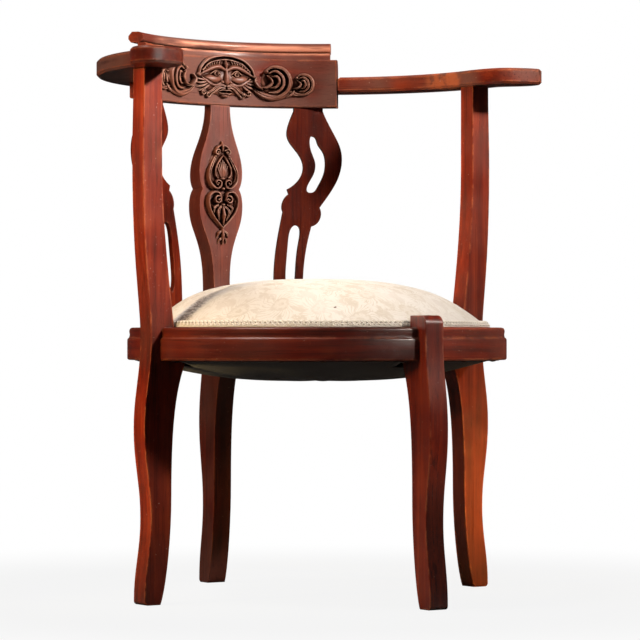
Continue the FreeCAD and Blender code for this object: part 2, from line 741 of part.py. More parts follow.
def crest_rail():
    body = new_body("crest_rail")
    board = outline(new_sketch(body, "BoardSection", "YZ_Plane"), [
        (CREST_FRONT, f"{CREST_BOTTOM} + 1.5"),
        (f"{CREST_FRONT} + 1.5", CREST_BOTTOM),
        (f"{CREST_BACK} - 1.5", CREST_BOTTOM),
        (CREST_BACK, f"{CREST_BOTTOM} + 1.5"),
        (CREST_BACK, f"{BOARD_TOP} - 16"),
        (f"{CREST_BACK} - 2.5", f"{BOARD_TOP} - 7"),
        (f"{CREST_FRONT} + crest_neck_in + crest_neck_thickness", f"{BOARD_TOP}"),
        (f"{CREST_FRONT} + 1", BOARD_TOP),
        (CREST_FRONT, f"{BOARD_TOP} - 1"),
    ])
    revolve(body, board, "2 * crest_bearing", symmetric=True)
    neck_front = f"{CREST_FRONT} + crest_neck_in"
    neck_back = f"{CREST_FRONT} + crest_neck_in + crest_neck_thickness"
    roll_front = "rail_radius - crest_roll_in"
    roll_back = "rail_radius + crest_roll_out"
    half = "(crest_roll_height / 2)"
    roll = outline(new_sketch(body, "RollSection", "YZ_Plane"), [
        (f"{CREST_FRONT} + 1.5", f"{BOARD_TOP} - 2"),
        (neck_back, f"{BOARD_TOP} - 2"),
        (neck_back, NECK_TOP),
        (f"{roll_back} - 0.5 * {half}", NECK_TOP),
        (roll_back, f"{NECK_TOP} + 0.6 * {half}"),
        (roll_back, f"{NECK_TOP} + 1.2 * {half}"),
        (f"{roll_back} - 0.7 * {half}", f"{NECK_TOP} + crest_roll_height"),
        (f"{roll_front} + {half}", f"{NECK_TOP} + crest_roll_height", "arc", "1.0001 * " + half, 1),
        (roll_front, f"{NECK_TOP} + {half}", "arc", "1.0001 * " + half, 1),
        (f"{roll_front} + {half}", NECK_TOP),
        (f"{neck_front} + 1.2", NECK_TOP),
        (f"{neck_front} + 1.2", f"{NECK_TOP} - 1.8"),
        (neck_front, f"{NECK_TOP} - 1.8"),
        (f"{neck_front} - 0.6", f"{BOARD_TOP} + 3"),
        (f"{CREST_FRONT} + 1.5", f"{BOARD_TOP}"),
    ])
    revolve(body, roll, "2 * roll_bearing", symmetric=True)
    low = number(CREST_BOTTOM)
    middle = new_sketch(body, "PostMortise", "XY_Plane", Placement(Vector(0, 0, low), Rotation()))
    bind(middle, "AttachmentOffset.Base.z", CREST_BOTTOM)
    front = "rail_radius - post_front_top_in + 3.5"
    rectangle(middle, "-(tenon_width / 2 + tenon_fit)", f"{front} - tenon_fit",
              "tenon_width / 2 + tenon_fit", f"{front} + tenon_thickness + tenon_fit")
    pocket(body, middle, "tenon_length + 1", reverse=True)
    for side, hand in (("left", -1), ("right", 1)):
        turn = Rotation(Vector(0, 0, 1), -hand * number("splat_facing"))
        slot = new_sketch(body, "SplatMortise_" + side, "XY_Plane", Placement(Vector(0, 0, low), turn))
        bind(slot, "AttachmentOffset.Base.z", CREST_BOTTOM)
        half_slot = "(splat_thickness / 2 + splat_fit)"
        line = "rail_radius - splat_top_in"
        ends = [f"{hand} * (splat_top_left - splat_fit)", f"{hand} * (splat_top_right + splat_fit)"]
        left, right = ends if hand > 0 else ends[::-1]
        rectangle(slot, left, f"{line} - {half_slot}", right, f"{line} + {half_slot}")
        pocket(body, slot, "splat_housing + splat_fit", reverse=True)
        for place in ("inner", "outer"):
            start = f"{CREST_BACK} - screw_grip"
            pilot = radial_sketch(body, f"Pilot_{place}_{side}", f"screw_{place}_bearing", start, hand)
            hole_circle(pilot, 0, "arm_bottom + arm_thickness / 2", "screw_radius + dowel_fit")
            pocket(body, pilot, "2 * screw_grip")
    return body


def crest_screws():
    """Countersunk wood screws that go in through the arm rail from behind."""
    screws = []
    head_start = f"{ARM_OUTER} - screw_head_height - screw_sink"
    for side, hand in (("left", -1), ("right", 1)):
        for place in ("inner", "outer"):
            name = f"crest_screw_{side}_{place}"
            tip = number(f"{CREST_BACK} - screw_grip + 1")
            shank = doc.addObject("Part::Cylinder", name + "_shank")
            bind(shank, "Radius", "screw_radius")
            bind(shank, "Height", f"{head_start} - ({CREST_BACK} - screw_grip + 1)")
            head = doc.addObject("Part::Cone", name + "_head")
            bind(head, "Radius1", "screw_radius")
            bind(head, "Radius2", "screw_head_radius")
            bind(head, "Height", "screw_head_height")
            head.Placement = Placement(Vector(0, 0, number(head_start) - tip), Rotation())
            screw = doc.addObject("Part::Fuse", name)
            screw.Base = shank
            screw.Tool = head
            turn = Rotation(Vector(0, 0, 1), -hand * number(f"screw_{place}_bearing"))
            at = turn.multVec(Vector(0, tip, number("arm_bottom + arm_thickness / 2")))
            screw.Placement = Placement(at, turn * Rotation(Vector(0, 0, 1), Vector(0, 1, 0)))
            screws.append(screw)
    return group("crest_screws", screws)


# Side splats


def up(share):
    """A height between the seat rail's top and the crest rail's underside."""
    return f"rail_top + {share} * ({CREST_BOTTOM} - rail_top)"


def points(*pairs):
    return [(x, up(share)) for x, share in pairs]


def splat_contour():
    """The S-shaped board seen from the seat, clockwise from its foot, for the right side."""
    foot = "rail_top - splat_housing"
    head = f"{CREST_BOTTOM} + splat_housing"
    return [
        ("splat_foot_left", foot),
        ("splat_foot_right", foot),
        ("splat_foot_right", up(0.02), "curve", points((29.6, 0.14), (30.2, 0.25), (35.5, 0.37))),
        (43.8, up(0.46), "curve", points((56.5, 0.468), (62, 0.515))),
        (56.5, up(0.546), "curve",
         points((70.8, 0.604), (88.3, 0.68), (93.6, 0.80), (78.3, 0.885), (66, 0.955))),
        ("splat_top_right", up(0.985)),
        ("splat_top_right", head),
        ("splat_top_left", head),
        ("splat_top_left", up(0.985), "curve",
         points((10.2, 0.925), (3.9, 0.86), (25.1, 0.80), (38.1, 0.72), (23.2, 0.652))),
        (8.1, up(0.629)),
        (10.4, up(0.607), "curve", points((1, 0.588), (-2.2, 0.548))),
        (1.7, up(0.527), "curve", points((-5.2, 0.43), (-13.3, 0.30), (-13.2, 0.15))),
        ("splat_foot_left", up(0.02)),
    ]


def upper_slot():
    return [
        (45.5, up(0.871), "curve",
         points((42, 0.871), (41.3, 0.81), (52.5, 0.755), (49.3, 0.695), (37.5, 0.65), (35.8, 0.614))),
        (42.5, up(0.614), "curve",
         points((50, 0.614), (53.8, 0.642), (66.8, 0.705), (66, 0.80), (52.2, 0.83), (53, 0.871))),
    ]


def lower_slot():
    return [
        (20.8, up(0.466), "curve", points((10.5, 0.462), (8.5, 0.37), (4.2, 0.26), (4.2, 0.18))),
        (11.2, up(0.157), "curve", points((18.6, 0.178), (19.7, 0.26), (22.5, 0.37), (30.5, 0.462))),
    ]


def side_splat(name, hand):
    """A pierced S-shaped board that stands in the seat rail and leans back into the crest rail."""
    body = doc.addObject("PartDesign::Body", name)
    body.Label = name
    parts.append(body)
    mirror = hand < 0
    contour = outline(new_sketch(body, "Contour_" + name, "XZ_Plane"), splat_contour(), mirror)
    pad(body, contour, "splat_thickness", symmetric=True)
    slots = new_sketch(body, "Slots_" + name, "XZ_Plane")
    outline(slots, upper_slot(), mirror)
    outline(slots, lower_slot(), mirror)
    pocket(body, slots, "3 * splat_thickness", symmetric=True)
    foot = number("rail_radius - splat_foot_in")
    low = number("rail_top")
    tilt = Rotation(Vector(1, 0, 0), -number(SPLAT_LEAN))
    turn = Rotation(Vector(0, 0, 1), -hand * number("splat_facing"))
    hinge = Vector(0, 0, low)
    shift = Vector(0, foot, low) - tilt.multVec(hinge)
    at = turn.multVec(shift)
    at.y -= number(FRAME_SHIFT)
    body.Placement = Placement(at, turn * tilt)
    return body


# Seat


def seat_body(name, path):
    body = new_body(name)
    section = outline(new_sketch(body, "Section_" + name, "XZ_Plane"), path)
    revolve(body, section, "360")
    return body


SEAT_RADIUS = "(rail_radius - seat_edge_in)"
CROWN = "(rail_top + seat_crown_rise)"
PAD_BOTTOM = "(rail_top + 2 * web_thickness + hessian_thickness)"
DOME_STEPS = 6
EDGE_SLOPE = f"({DOME_STEPS * (1 - (1 - 1 / DOME_STEPS) ** 3)} * seat_crown_rise / {SEAT_RADIUS})"
PAD_RADIUS = f"({SEAT_RADIUS} - ({PAD_BOTTOM} - rail_top + cover_edge) / {EDGE_SLOPE})"
WEB_RADIUS = f"({PAD_RADIUS} - web_end_gap)"


def dome_line(radius, base, crown, steps):
    """Points from the crown out to the edge, level in the middle and steep at the edge."""
    line = []
    for step in range(steps + 1):
        share = step / steps
        line.append((f"{share} * {radius}", f"{crown} - {share ** 3} * ({crown} - {base})"))
    return line


def pad_line():
    """The stuffing's top under the cover."""
    return dome_line(PAD_RADIUS, PAD_BOTTOM, f"({CROWN} - cover_wadding)", 2)


def seat_cover():
    """The damask cover with its wadding, tacked to the rail round its edge."""
    outside = dome_line(SEAT_RADIUS, "rail_top", CROWN, DOME_STEPS)
    return seat_body("seat_cover", [*pad_line(), (PAD_RADIUS, "rail_top"), *outside[::-1]])


def seat_stuffing():
    return seat_body("seat_stuffing", [*pad_line(), (0, PAD_BOTTOM)])


def seat_hessian():
    """A flat disc of hessian over the webbing."""
    body = new_body("seat_hessian")
    offset = Placement(Vector(0, 0, number(PAD_BOTTOM)), Rotation())
    disc = new_sketch(body, "Disc", "XY_Plane", offset)
    bind(disc, "AttachmentOffset.Base.z", PAD_BOTTOM)
    hole_circle(disc, 0, 0, f"{PAD_RADIUS} - 1")
    pad(body, disc, "hessian_thickness", reverse=True)
    return body


def seat_braid():
    """The gimp that covers the tacked edge of the cover."""
    return seat_body("seat_braid", [
        (f"{SEAT_RADIUS} + 0.3", "rail_top + 0.1"),
        (f"{SEAT_RADIUS} + braid_thickness", "rail_top + 0.1"),
        (f"{SEAT_RADIUS} + braid_thickness", "rail_top + 1.6"),
        (f"{SEAT_RADIUS} + braid_thickness - 0.7 * braid_width", "rail_top + braid_width"),
        (f"{SEAT_RADIUS} + 0.3 - 0.7 * braid_width", "rail_top + 0.78 * braid_width"),
    ])


def straps(body, name, bottom):
    """Four straps side by side, cut to the round of the rail."""
    offset = Placement(Vector(0, 0, number(bottom)), Rotation())
    sketch = new_sketch(body, "Straps_" + name, "XY_Plane", offset)
    bind(sketch, "AttachmentOffset.Base.z", bottom)
    for side in (-1, 1):
        for place in ("inner", "outer"):
            low = f"{side} * web_{place}_offset - web_width / 2"
            high = f"{side} * web_{place}_offset + web_width / 2"
            rectangle(sketch, "-rail_radius", low, "rail_radius", high)
    pad(body, sketch, "web_thickness")
    ends = new_sketch(body, "Ends_" + name, "XY_Plane", offset)
    bind(ends, "AttachmentOffset.Base.z", bottom)
    rectangle(ends, "-2 * rail_radius", "-2 * rail_radius", "2 * rail_radius", "2 * rail_radius")
    hole_circle(ends, 0, 0, WEB_RADIUS)
    pocket(body, ends, "web_thickness", reverse=True)


def webbing_crosswise():
    """The lower straps, tacked to the top of the seat rail."""
    body = new_body("webbing_crosswise")
    straps(body, "crosswise", "rail_top")
    return body


def webbing_lengthwise():
    """The upper straps, whose folded ends come down to the seat rail."""
    body = new_body("webbing_lengthwise", 90.0)
    straps(body, "folds", "rail_top")
    middle = new_sketch(body, "BetweenFolds", "XY_Plane")
    hole_circle(middle, 0, 0, f"{WEB_RADIUS} - web_fold")
    pocket(body, middle, "3 * rail_top", symmetric=True)
    straps(body, "lengthwise", "rail_top + web_thickness")
    return body


def bottom_cloth():
    """The dark cloth that hangs under the seat, cut out round the legs."""
    edge = "rail_radius - bottom_edge_in"
    inner = "rail_radius - bottom_edge_in - bottom_tacking"
    hanging = [
        (0, "rail_bottom - bottom_sag"),
        (f"0.6 * ({inner})", "rail_bottom - 0.8 * bottom_sag"),
        (inner, "rail_bottom - bottom_thickness"),
    ]
    above = [(radius, f"{level} + bottom_thickness") for radius, level in hanging]
    body = seat_body("bottom_cloth", [
        *hanging,
        (edge, "rail_bottom - bottom_thickness"),
        (edge, "rail_bottom"),
        *above[::-1],
    ])
    notches = new_sketch(body, "LegNotches", "XY_Plane")
    half = "(leg_thickness / 2 + bottom_notch_gap)"
    near, far = "(rail_radius - knee_in - 2)", "rail_radius"
    rectangle(notches, near, f"-{half}", far, half)
    rectangle(notches, f"-{far}", f"-{half}", f"-{near}", half)
    rectangle(notches, f"-{half}", near, half, far)
    rectangle(notches, f"-{half}", f"-{far}", half, f"-{near}")
    pocket(body, notches, "3 * rail_top", symmetric=True)
    return body


# Applied carving, as the plain blanks that the carver starts from


def waste_round(sketch, path, half_width, low, high, mirror=False):
    """A frame whose hole is the outline: what is cut away round a carving's blank."""
    rectangle(sketch, f"-2 * ({half_width})", f"{low} - 40", f"2 * ({half_width})", f"{high} + 40")
    outline(sketch, path, mirror)


def crest_carving(name, relief, path, low, high, spread, mirror=False):
    """A blank that fits the crest rail's curved face."""
    body = new_body(name)
    section = new_sketch(body, "Section_" + name, "YZ_Plane")
    rectangle(section, f"{CREST_FRONT} - {relief}", low, CREST_FRONT, high)
    revolve(body, section, "2 * crest_bearing", symmetric=True)
    waste = new_sketch(body, "Outline_" + name, "XZ_Plane")
    waste_round(waste, path, spread, low, high, mirror)
    pocket(body, waste, "4 * rail_radius", symmetric=True)
    return body


def crest_mask():
    """Wide and arched at the brow, narrow at the chin."""
    low, high = f"({CREST_BOTTOM} + mask_low)", f"({CREST_BOTTOM} + mask_high)"
    brow = f"({low} + 0.45 * (mask_high - mask_low))"
    rise = f"({high} - {brow})"
    arch = f"(mask_half_width ^ 2 + {rise} ^ 2) / (2 * {rise})"
    return crest_carving("crest_mask", "mask_relief", [
        ("mask_half_width", brow, "arc", arch, 1),
        ("-mask_half_width", brow),
        ("-0.5 * mask_half_width", low),
        ("0.5 * mask_half_width", low),
    ], low, high, "2 * mask_half_width")


def crest_scroll(name, hand):
    """Deep beside the mask, and shallow at the small scroll on its far end."""
    low, high = f"({CREST_BOTTOM} + scroll_low)", f"({CREST_BOTTOM} + scroll_high)"
    reach = "(scroll_far - scroll_near)"
    rise = "(scroll_high - scroll_low)"
    return crest_carving(name, "scroll_relief", [
        ("scroll_near", f"{low} + 0.3 * {rise}"),
        (f"scroll_near + 0.25 * {reach}", low),
        (f"scroll_near + 0.6 * {reach}", f"{low} + 0.1 * {rise}"),
        ("scroll_far", f"{low} + 0.15 * {rise}"),
        ("scroll_far", f"{low} + 0.75 * {rise}"),
        (f"scroll_near + 0.65 * {reach}", f"{low} + 0.75 * {rise}"),
        (f"scroll_near + 0.5 * {reach}", high),
        (f"scroll_near + 0.1 * {reach}", high),
    ], low, high, "2 * scroll_far", mirror=hand < 0)


def post_carving(name, relief, path, low, high, half_width):
    """A blank that fits the sloping front of the back post."""
    body = new_body(name, LEG_TURNS["back"])
    slope = f"(({POST_FRONT_TOP} - {POST_FRONT_LOW}) / ({CREST_BOTTOM} - {POST_FRONT_LOW_Z}))"

    def face(height):
        return f"{POST_FRONT_LOW} + {slope} * ({height} - {POST_FRONT_LOW_Z})"

    side = outline(new_sketch(body, "Side_" + name, "XZ_Plane"), [
        (f"{face(low)} - {relief}", low),
        (face(low), low),
        (face(high), high),
        (f"{face(high)} - {relief}", high),
    ])
    pad(body, side, f"2 * {half_width}", symmetric=True)
    waste = new_sketch(body, "Outline_" + name, "YZ_Plane")
    waste_round(waste, path, half_width, low, high)
    pocket(body, waste, "4 * rail_radius", symmetric=True)
    return body


def leaf_outline(low, high, half_width):
    """A pointed oval of two arcs."""
    rise = f"({high} - {low})"
    bend = f"({rise} ^ 2 / 4 + {half_width} ^ 2) / (2 * {half_width})"
    return [(0, low, "arc", bend, 1), (0, high, "arc", bend, 1)]


def post_cartouche():
    low, high = f"({below_crest('cartouche_low_drop')})", f"({below_crest('cartouche_high_drop')})"
    path = leaf_outline(low, high, "cartouche_half_width")
    return post_carving("post_cartouche", "cartouche_relief", path, low, high, "cartouche_half_width")


def post_drop():
    low, high = f"({below_crest('drop_low_drop')})", f"({below_crest('drop_high_drop')})"
    path = leaf_outline(low, high, "drop_half_width")
    return post_carving("post_drop", "cartouche_relief", path, low, high, "drop_half_width")


# Build

front_leg()
arm_post("left_arm_post", "left")
arm_post("right_arm_post", "right")
back_post()
seat_rail("seat_rail_back_right", 0.0, "right")
seat_rail("seat_rail_back_left", 90.0, "left")
seat_rail("seat_rail_front_left", 180.0)
seat_rail("seat_rail_front_right", 270.0)
rail_dowels()
arm("left_arm", -1)
arm("right_arm", 1)
arm_dowels()
bow_dowels()
crest_rail()
crest_screws()
side_splat("left_splat", -1)
side_splat("right_splat", 1)
crest_mask()
crest_scroll("crest_scroll_left", -1)
crest_scroll("crest_scroll_right", 1)
post_cartouche()
post_drop()
webbing_crosswise()
webbing_lengthwise()
seat_hessian()
seat_stuffing()
seat_cover()
seat_braid()
bottom_cloth()
doc.recompute()

# Check and write

for item in doc.Objects:
    if {"Invalid", "Error"} & set(item.State):
        raise RuntimeError(f"{item.Name} did not build: {item.State}")
os.makedirs("parts", exist_ok=True)
for part in parts:
    shape = part.Shape
    if shape.isNull() or not shape.isValid():
        raise RuntimeError(f"{part.Label} has no valid shape")
    shape.exportStep(f"parts/{part.Label}.step")
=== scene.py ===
import math

import bpy
import numpy as np
from mathutils import Matrix, Vector


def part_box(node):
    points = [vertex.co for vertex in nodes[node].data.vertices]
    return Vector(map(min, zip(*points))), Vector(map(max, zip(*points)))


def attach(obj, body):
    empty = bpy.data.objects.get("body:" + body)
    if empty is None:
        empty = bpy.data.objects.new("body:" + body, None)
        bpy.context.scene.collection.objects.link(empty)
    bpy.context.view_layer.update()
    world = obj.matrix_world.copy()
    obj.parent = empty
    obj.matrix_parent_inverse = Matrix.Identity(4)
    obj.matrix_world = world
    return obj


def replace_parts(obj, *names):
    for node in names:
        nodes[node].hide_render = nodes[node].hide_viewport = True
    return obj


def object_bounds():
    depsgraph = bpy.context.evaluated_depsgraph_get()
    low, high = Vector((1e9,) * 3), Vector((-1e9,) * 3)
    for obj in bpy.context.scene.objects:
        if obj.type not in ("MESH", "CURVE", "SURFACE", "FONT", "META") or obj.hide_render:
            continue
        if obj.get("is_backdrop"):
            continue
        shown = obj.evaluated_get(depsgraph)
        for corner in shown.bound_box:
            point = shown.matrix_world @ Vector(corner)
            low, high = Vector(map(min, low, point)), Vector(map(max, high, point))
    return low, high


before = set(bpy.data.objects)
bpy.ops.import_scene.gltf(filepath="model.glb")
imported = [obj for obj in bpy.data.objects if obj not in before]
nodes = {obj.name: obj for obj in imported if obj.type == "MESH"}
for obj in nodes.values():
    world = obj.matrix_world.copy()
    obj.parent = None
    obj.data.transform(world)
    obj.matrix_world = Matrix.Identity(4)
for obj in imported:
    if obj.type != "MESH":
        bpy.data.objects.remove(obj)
cad_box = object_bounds()

TURN = 2 * math.pi
# The chair's upright axis lies on X = 0, in the middle of the side posts' thickness
AXIS_Y = sum(corner.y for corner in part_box("left_arm_post")) / 2
AXIS = Vector((0, AXIS_Y, 0))
RAIL_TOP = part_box("seat_rail_front_left")[1].z
RAIL_RADIUS = -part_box("seat_rail_front_left")[0].x
CREST_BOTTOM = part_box("crest_rail")[0].z
CREST_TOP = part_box("crest_rail")[1].z
CREST_FRONT = 0.250
SEAT_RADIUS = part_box("seat_cover")[1].x
SEAT_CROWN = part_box("seat_cover")[1].z


def put(target, **settings):
    """Set several properties of a Blender thing at once."""
    for name, value in settings.items():
        setattr(target, name, value)
    return target


def placed(name, data):
    """A new object in the scene."""
    made = bpy.data.objects.new(name, data)
    bpy.context.scene.collection.objects.link(made)
    return made


class Graph:
    """A material's node tree, built by calling methods that return output sockets."""

    def __init__(self, name):
        self.material = bpy.data.materials.new(name)
        self.material.use_nodes = True
        self.tree = self.material.node_tree
        self.tree.nodes.clear()
        self.out = self.node("OutputMaterial")
        self.shader = self.node("BsdfPrincipled")
        self.tree.links.new(self.shader.outputs[0], self.out.inputs[0])

    def wire(self, made, inputs):
        """The node, with its inputs fed by name or place from sockets or plain values."""
        for key, value in inputs.items():
            socket = made.inputs[key.replace("_", " ") if isinstance(key, str) else key]
            if isinstance(value, bpy.types.NodeSocket):
                self.tree.links.new(value, socket)
            else:
                socket.default_value = value
        return made

    def node(self, kind, settings=(), **inputs):
        return self.wire(put(self.tree.nodes.new("ShaderNode" + kind), **dict(settings)), inputs)

    def math(self, operation, a, b=0.0, c=0.0, clamp=False):
        made = self.node("Math", {"operation": operation, "use_clamp": clamp})
        return self.wire(made, {0: a, 1: b, 2: c}).outputs[0]

    def times(self, a, b, clamp=False):
        return self.math("MULTIPLY", a, b, clamp=clamp)

    def madd(self, a, b, c, clamp=False):
        """a times b, plus c."""
        return self.math("MULTIPLY_ADD", a, b, c, clamp)

    def place(self):
        """Object coordinates, in metres."""
        return self.node("TexCoord").outputs["Object"]

    def vector(self, x, y, z):
        return self.node("CombineXYZ", X=x, Y=y, Z=z).outputs[0]

    def split(self, vector):
        return self.node("SeparateXYZ", Vector=vector).outputs

    def vector_math(self, operation, *vectors):
        """The result as a vector, or as a number where the operation gives one."""
        made = self.wire(self.node("VectorMath", {"operation": operation}), dict(enumerate(vectors)))
        return made.outputs["Value" if operation in ("DOT_PRODUCT", "DISTANCE", "LENGTH") else "Vector"]

    def scaled(self, vector, scale, location=(0, 0, 0)):
        return self.node("Mapping", Vector=vector, Scale=scale, Location=location).outputs[0]

    def noise(self, vector, scale, detail=3.0, roughness=0.5, distortion=0.0):
        return self.node(
            "TexNoise", Vector=vector, Scale=scale, Detail=detail, Roughness=roughness,
            Distortion=distortion,
        ).outputs[0]

    def step(self, value, low, high, to_low=0.0, to_high=1.0):
        """A smooth step from low to high."""
        return self.node(
            "MapRange", {"interpolation_type": "SMOOTHSTEP"}, Value=value,
            From_Min=low, From_Max=high, To_Min=to_low, To_Max=to_high,
        ).outputs[0]

    def mix(self, factor, a, b, blend="MIX"):
        """A blend of two colours, each a socket or three numbers."""
        made = self.node("Mix", {"data_type": "RGBA", "blend_type": blend})
        a, b = ((*colour, 1) if isinstance(colour, tuple) else colour for colour in (a, b))
        return self.wire(made, {0: factor, 6: a, 7: b}).outputs[2]

    def ramp(self, value, stops):
        made = self.node("ValToRGB", Fac=value)
        bar = made.color_ramp
        while len(bar.elements) < len(stops):
            bar.elements.new(0.5)
        for element, (place, colour) in zip(bar.elements, stops):
            put(element, position=place, color=(*colour, 1))
        return made.outputs[0]

    def bump(self, height, strength, distance):
        return self.node("Bump", Height=height, Strength=strength, Distance=distance).outputs[0]

    def finish(self, **inputs):
        self.wire(self.shader, inputs)
        return self.material


# Wood

WOOD_DARK = (0.026, 0.0030, 0.0014)
WOOD_MID = (0.165, 0.0125, 0.0028)
WOOD_LIGHT = (0.370, 0.046, 0.0105)
# Colour of abraded wood; on the rails' edges it also paints highlights
WOOD_WORN_AND_HIGHLIT = (0.480, 0.125, 0.048)
# A painted highlight, bare-looking orange, for a band along the crest's roll
HIGHLIGHT_BAND_COLOUR = (0.880, 0.360, 0.230)
# Greyish old polish, which also paints a lamp's sheen on the faces
POLISH_HAZE_AND_SHEEN = (0.165, 0.066, 0.049)
# Near-black for the pores, and for painted shade in corners and recesses
PORE_AND_SHADE_DARK = (0.008, 0.003, 0.002)
EDGE_WEAR_AND_HIGHLIGHT_WIDTH = 0.0045
HAND_WEAR_AND_HIGHLIGHT_RADIUS = 0.040
# Size and start of the painted highlight band along the crest's roll
HIGHLIGHT_BAND_WIDTH, HIGHLIGHT_BAND_START = 0.018, -0.135


def grain_place(g, grain, seed):
    """Coordinates in metres whose third component runs along the grain: up, or round the chair's axis."""
    place = g.place()
    if grain == "arc":
        x, y, z = g.split(place)
        y = g.math("SUBTRACT", y, AXIS_Y)
        along = g.times(g.math("ARCTAN2", x, y), RAIL_RADIUS)
        across = g.math("SQRT", g.math("ADD", g.times(x, x), g.times(y, y)))
        place = g.vector(across, z, along)
    return g.scaled(place, (1, 1, 1), (seed * 1.37, seed * 0.71, seed * 2.13))


def wood(name, grain, seed, shade, wear_and_highlight, haze_and_sheen, gloss, highlight_above=None, worn_and_lit_at=None):
    """Old polished mahogany: streaked grain, pores, abraded edges that on the rails are also painted
    highlights, painted shade in the corners, and scratches.
    How much greyish old polish, partly a painted sheen, lies over the red is set per piece. Above a given
    height a band of painted highlight shows as polish gone bare, and round a given point a patch is partly a
    hand's scuffing and partly a painted highlight."""
    g = Graph(name)
    place = grain_place(g, grain, seed)
    drift = g.noise(g.scaled(place, (9, 9, 3)), 1.0, 2.0)
    along = g.vector_math("ADD", place, g.vector(g.times(drift, 0.02), g.times(drift, 0.014), 0.0))
    bands = g.noise(g.scaled(along, (95, 95, 3.2)), 1.0, 4.0, 0.55)
    fibre = g.noise(g.scaled(along, (620, 620, 14)), 1.0, 3.0, 0.6)
    pores = g.noise(g.scaled(along, (1700, 1700, 70)), 1.0, 1.0)
    mottle = g.noise(place, 9.0)
    tone = g.madd(mottle, 0.50, g.madd(bands, 0.50, g.times(fibre, 0.20)))
    colour = g.ramp(tone, [(0.42, WOOD_DARK), (0.60, WOOD_MID), (0.82, WOOD_LIGHT)])
    # Greyish old polish over the red, partly a painted sheen
    dull_and_sheen = g.step(g.noise(place, 5.0, 3.0, 0.6), 0.30, 0.62)
    colour = g.mix(g.times(dull_and_sheen, haze_and_sheen), colour, POLISH_HAZE_AND_SHEEN)
    dark_pores = g.step(pores, 0.62, 0.72)
    colour = g.mix(g.times(dark_pores, 0.50), colour, PORE_AND_SHADE_DARK)
    lines = g.noise(g.scaled(along, (300, 300, 2.0), (5, 3, 1)), 1.0, 2.0)
    dark_lines = g.times(g.step(lines, 0.60, 0.66), g.step(mottle, 0.42, 0.60))
    colour = g.mix(g.times(dark_lines, 0.55), colour, WOOD_DARK)
    # Lighter abraded edges; on the rails, turned up high, they are also painted highlights along the top
    # rounding and the bead
    soft = g.node("Bevel", {"samples": 4}, Radius=EDGE_WEAR_AND_HIGHLIGHT_WIDTH).outputs[0]
    edge = g.step(g.vector_math("DOT_PRODUCT", g.node("NewGeometry").outputs["Normal"], soft), 0.995, 0.90)
    patchy = g.noise(place, 46.0, 4.0, 0.65)
    rubbed_and_highlit = g.times(edge, g.step(patchy, 0.38, 0.62))
    broad = g.times(g.step(g.noise(place, 7.0, 3.0, 0.6), 0.60, 0.82), 0.30)
    worn_and_highlit = g.times(g.math("MAXIMUM", rubbed_and_highlit, broad), 0.80 * wear_and_highlight, clamp=True)
    # A patch round the given point, partly a hand's scuffing and partly a painted highlight
    if worn_and_lit_at:
        away = g.vector_math("DISTANCE", g.place(), worn_and_lit_at)
        spot = g.times(g.step(away, HAND_WEAR_AND_HIGHLIGHT_RADIUS, HAND_WEAR_AND_HIGHLIGHT_RADIUS - 0.014), g.step(patchy, 0.34, 0.56))
        worn_and_highlit = g.math("MAXIMUM", worn_and_highlit, g.times(spot, 0.8))
    colour = g.mix(worn_and_highlit, colour, WOOD_WORN_AND_HIGHLIT)
    # Painted highlight: a bright orange band along the crest's roll, shown as polish gone bare
    if highlight_above:
        x, _, z = g.split(g.place())
        streaky = g.noise(g.scaled(place, (70, 70, 9)), 1.0, 4.0, 0.6)
        highlight_to = highlight_above + HIGHLIGHT_BAND_WIDTH
        band = g.times(g.step(z, highlight_above, highlight_above + 0.004), g.step(streaky, 0.36, 0.60))
        band = g.times(band, g.step(z, highlight_to, highlight_to - 0.005))
        band = g.times(band, g.step(x, HIGHLIGHT_BAND_START, HIGHLIGHT_BAND_START + 0.040))
        colour = g.mix(g.times(band, 0.85), colour, HIGHLIGHT_BAND_COLOUR)
    # Painted shade: near-black in corners and recesses that ambient occlusion finds
    open_air = g.node("AmbientOcclusion", {"samples": 4}, Distance=0.012).outputs["AO"]
    corner_shade = g.step(open_air, 0.75, 0.25)
    colour = g.mix(g.times(corner_shade, 0.80), colour, PORE_AND_SHADE_DARK)
    streak = g.noise(g.scaled(place, (260, 40, 300), (3, 1, 2)), 1.0, 2.0, 0.5, 1.6)
    scratch = g.times(g.step(g.math("ABSOLUTE", g.math("SUBTRACT", streak, 0.5)), 0.008, 0.0), 0.35)
    scratch = g.times(scratch, g.step(g.noise(place, 20.0, 2.0), 0.52, 0.66))
    colour = g.mix(scratch, colour, WOOD_WORN_AND_HIGHLIT)
    specks = g.step(g.noise(place, 330.0, 2.0), 0.735, 0.76)
    colour = g.mix(g.times(specks, 0.45), colour, (0.62, 0.40, 0.30))
    # Per-piece brightness: partly the wood's own tone, partly painted light and shade, lighter for lit pieces
    # and darker for those in shadow
    colour = g.mix(1.0, colour, (shade, shade, shade), "MULTIPLY")
    rough = g.madd(corner_shade, 0.22, g.madd(worn_and_highlit, 0.16, g.madd(patchy, 0.26, 0.22)), clamp=True)
    height = g.madd(fibre, 0.5, g.times(dark_pores, -0.5))
    height = g.madd(g.noise(place, 60.0), 1.6, height)
    return g.finish(
        Base_Color=colour, Roughness=rough, Normal=g.bump(height, 0.35, 0.0005),
        Coat_Weight=0.3 * gloss, Coat_Roughness=0.16, Specular_IOR_Level=gloss,
    )


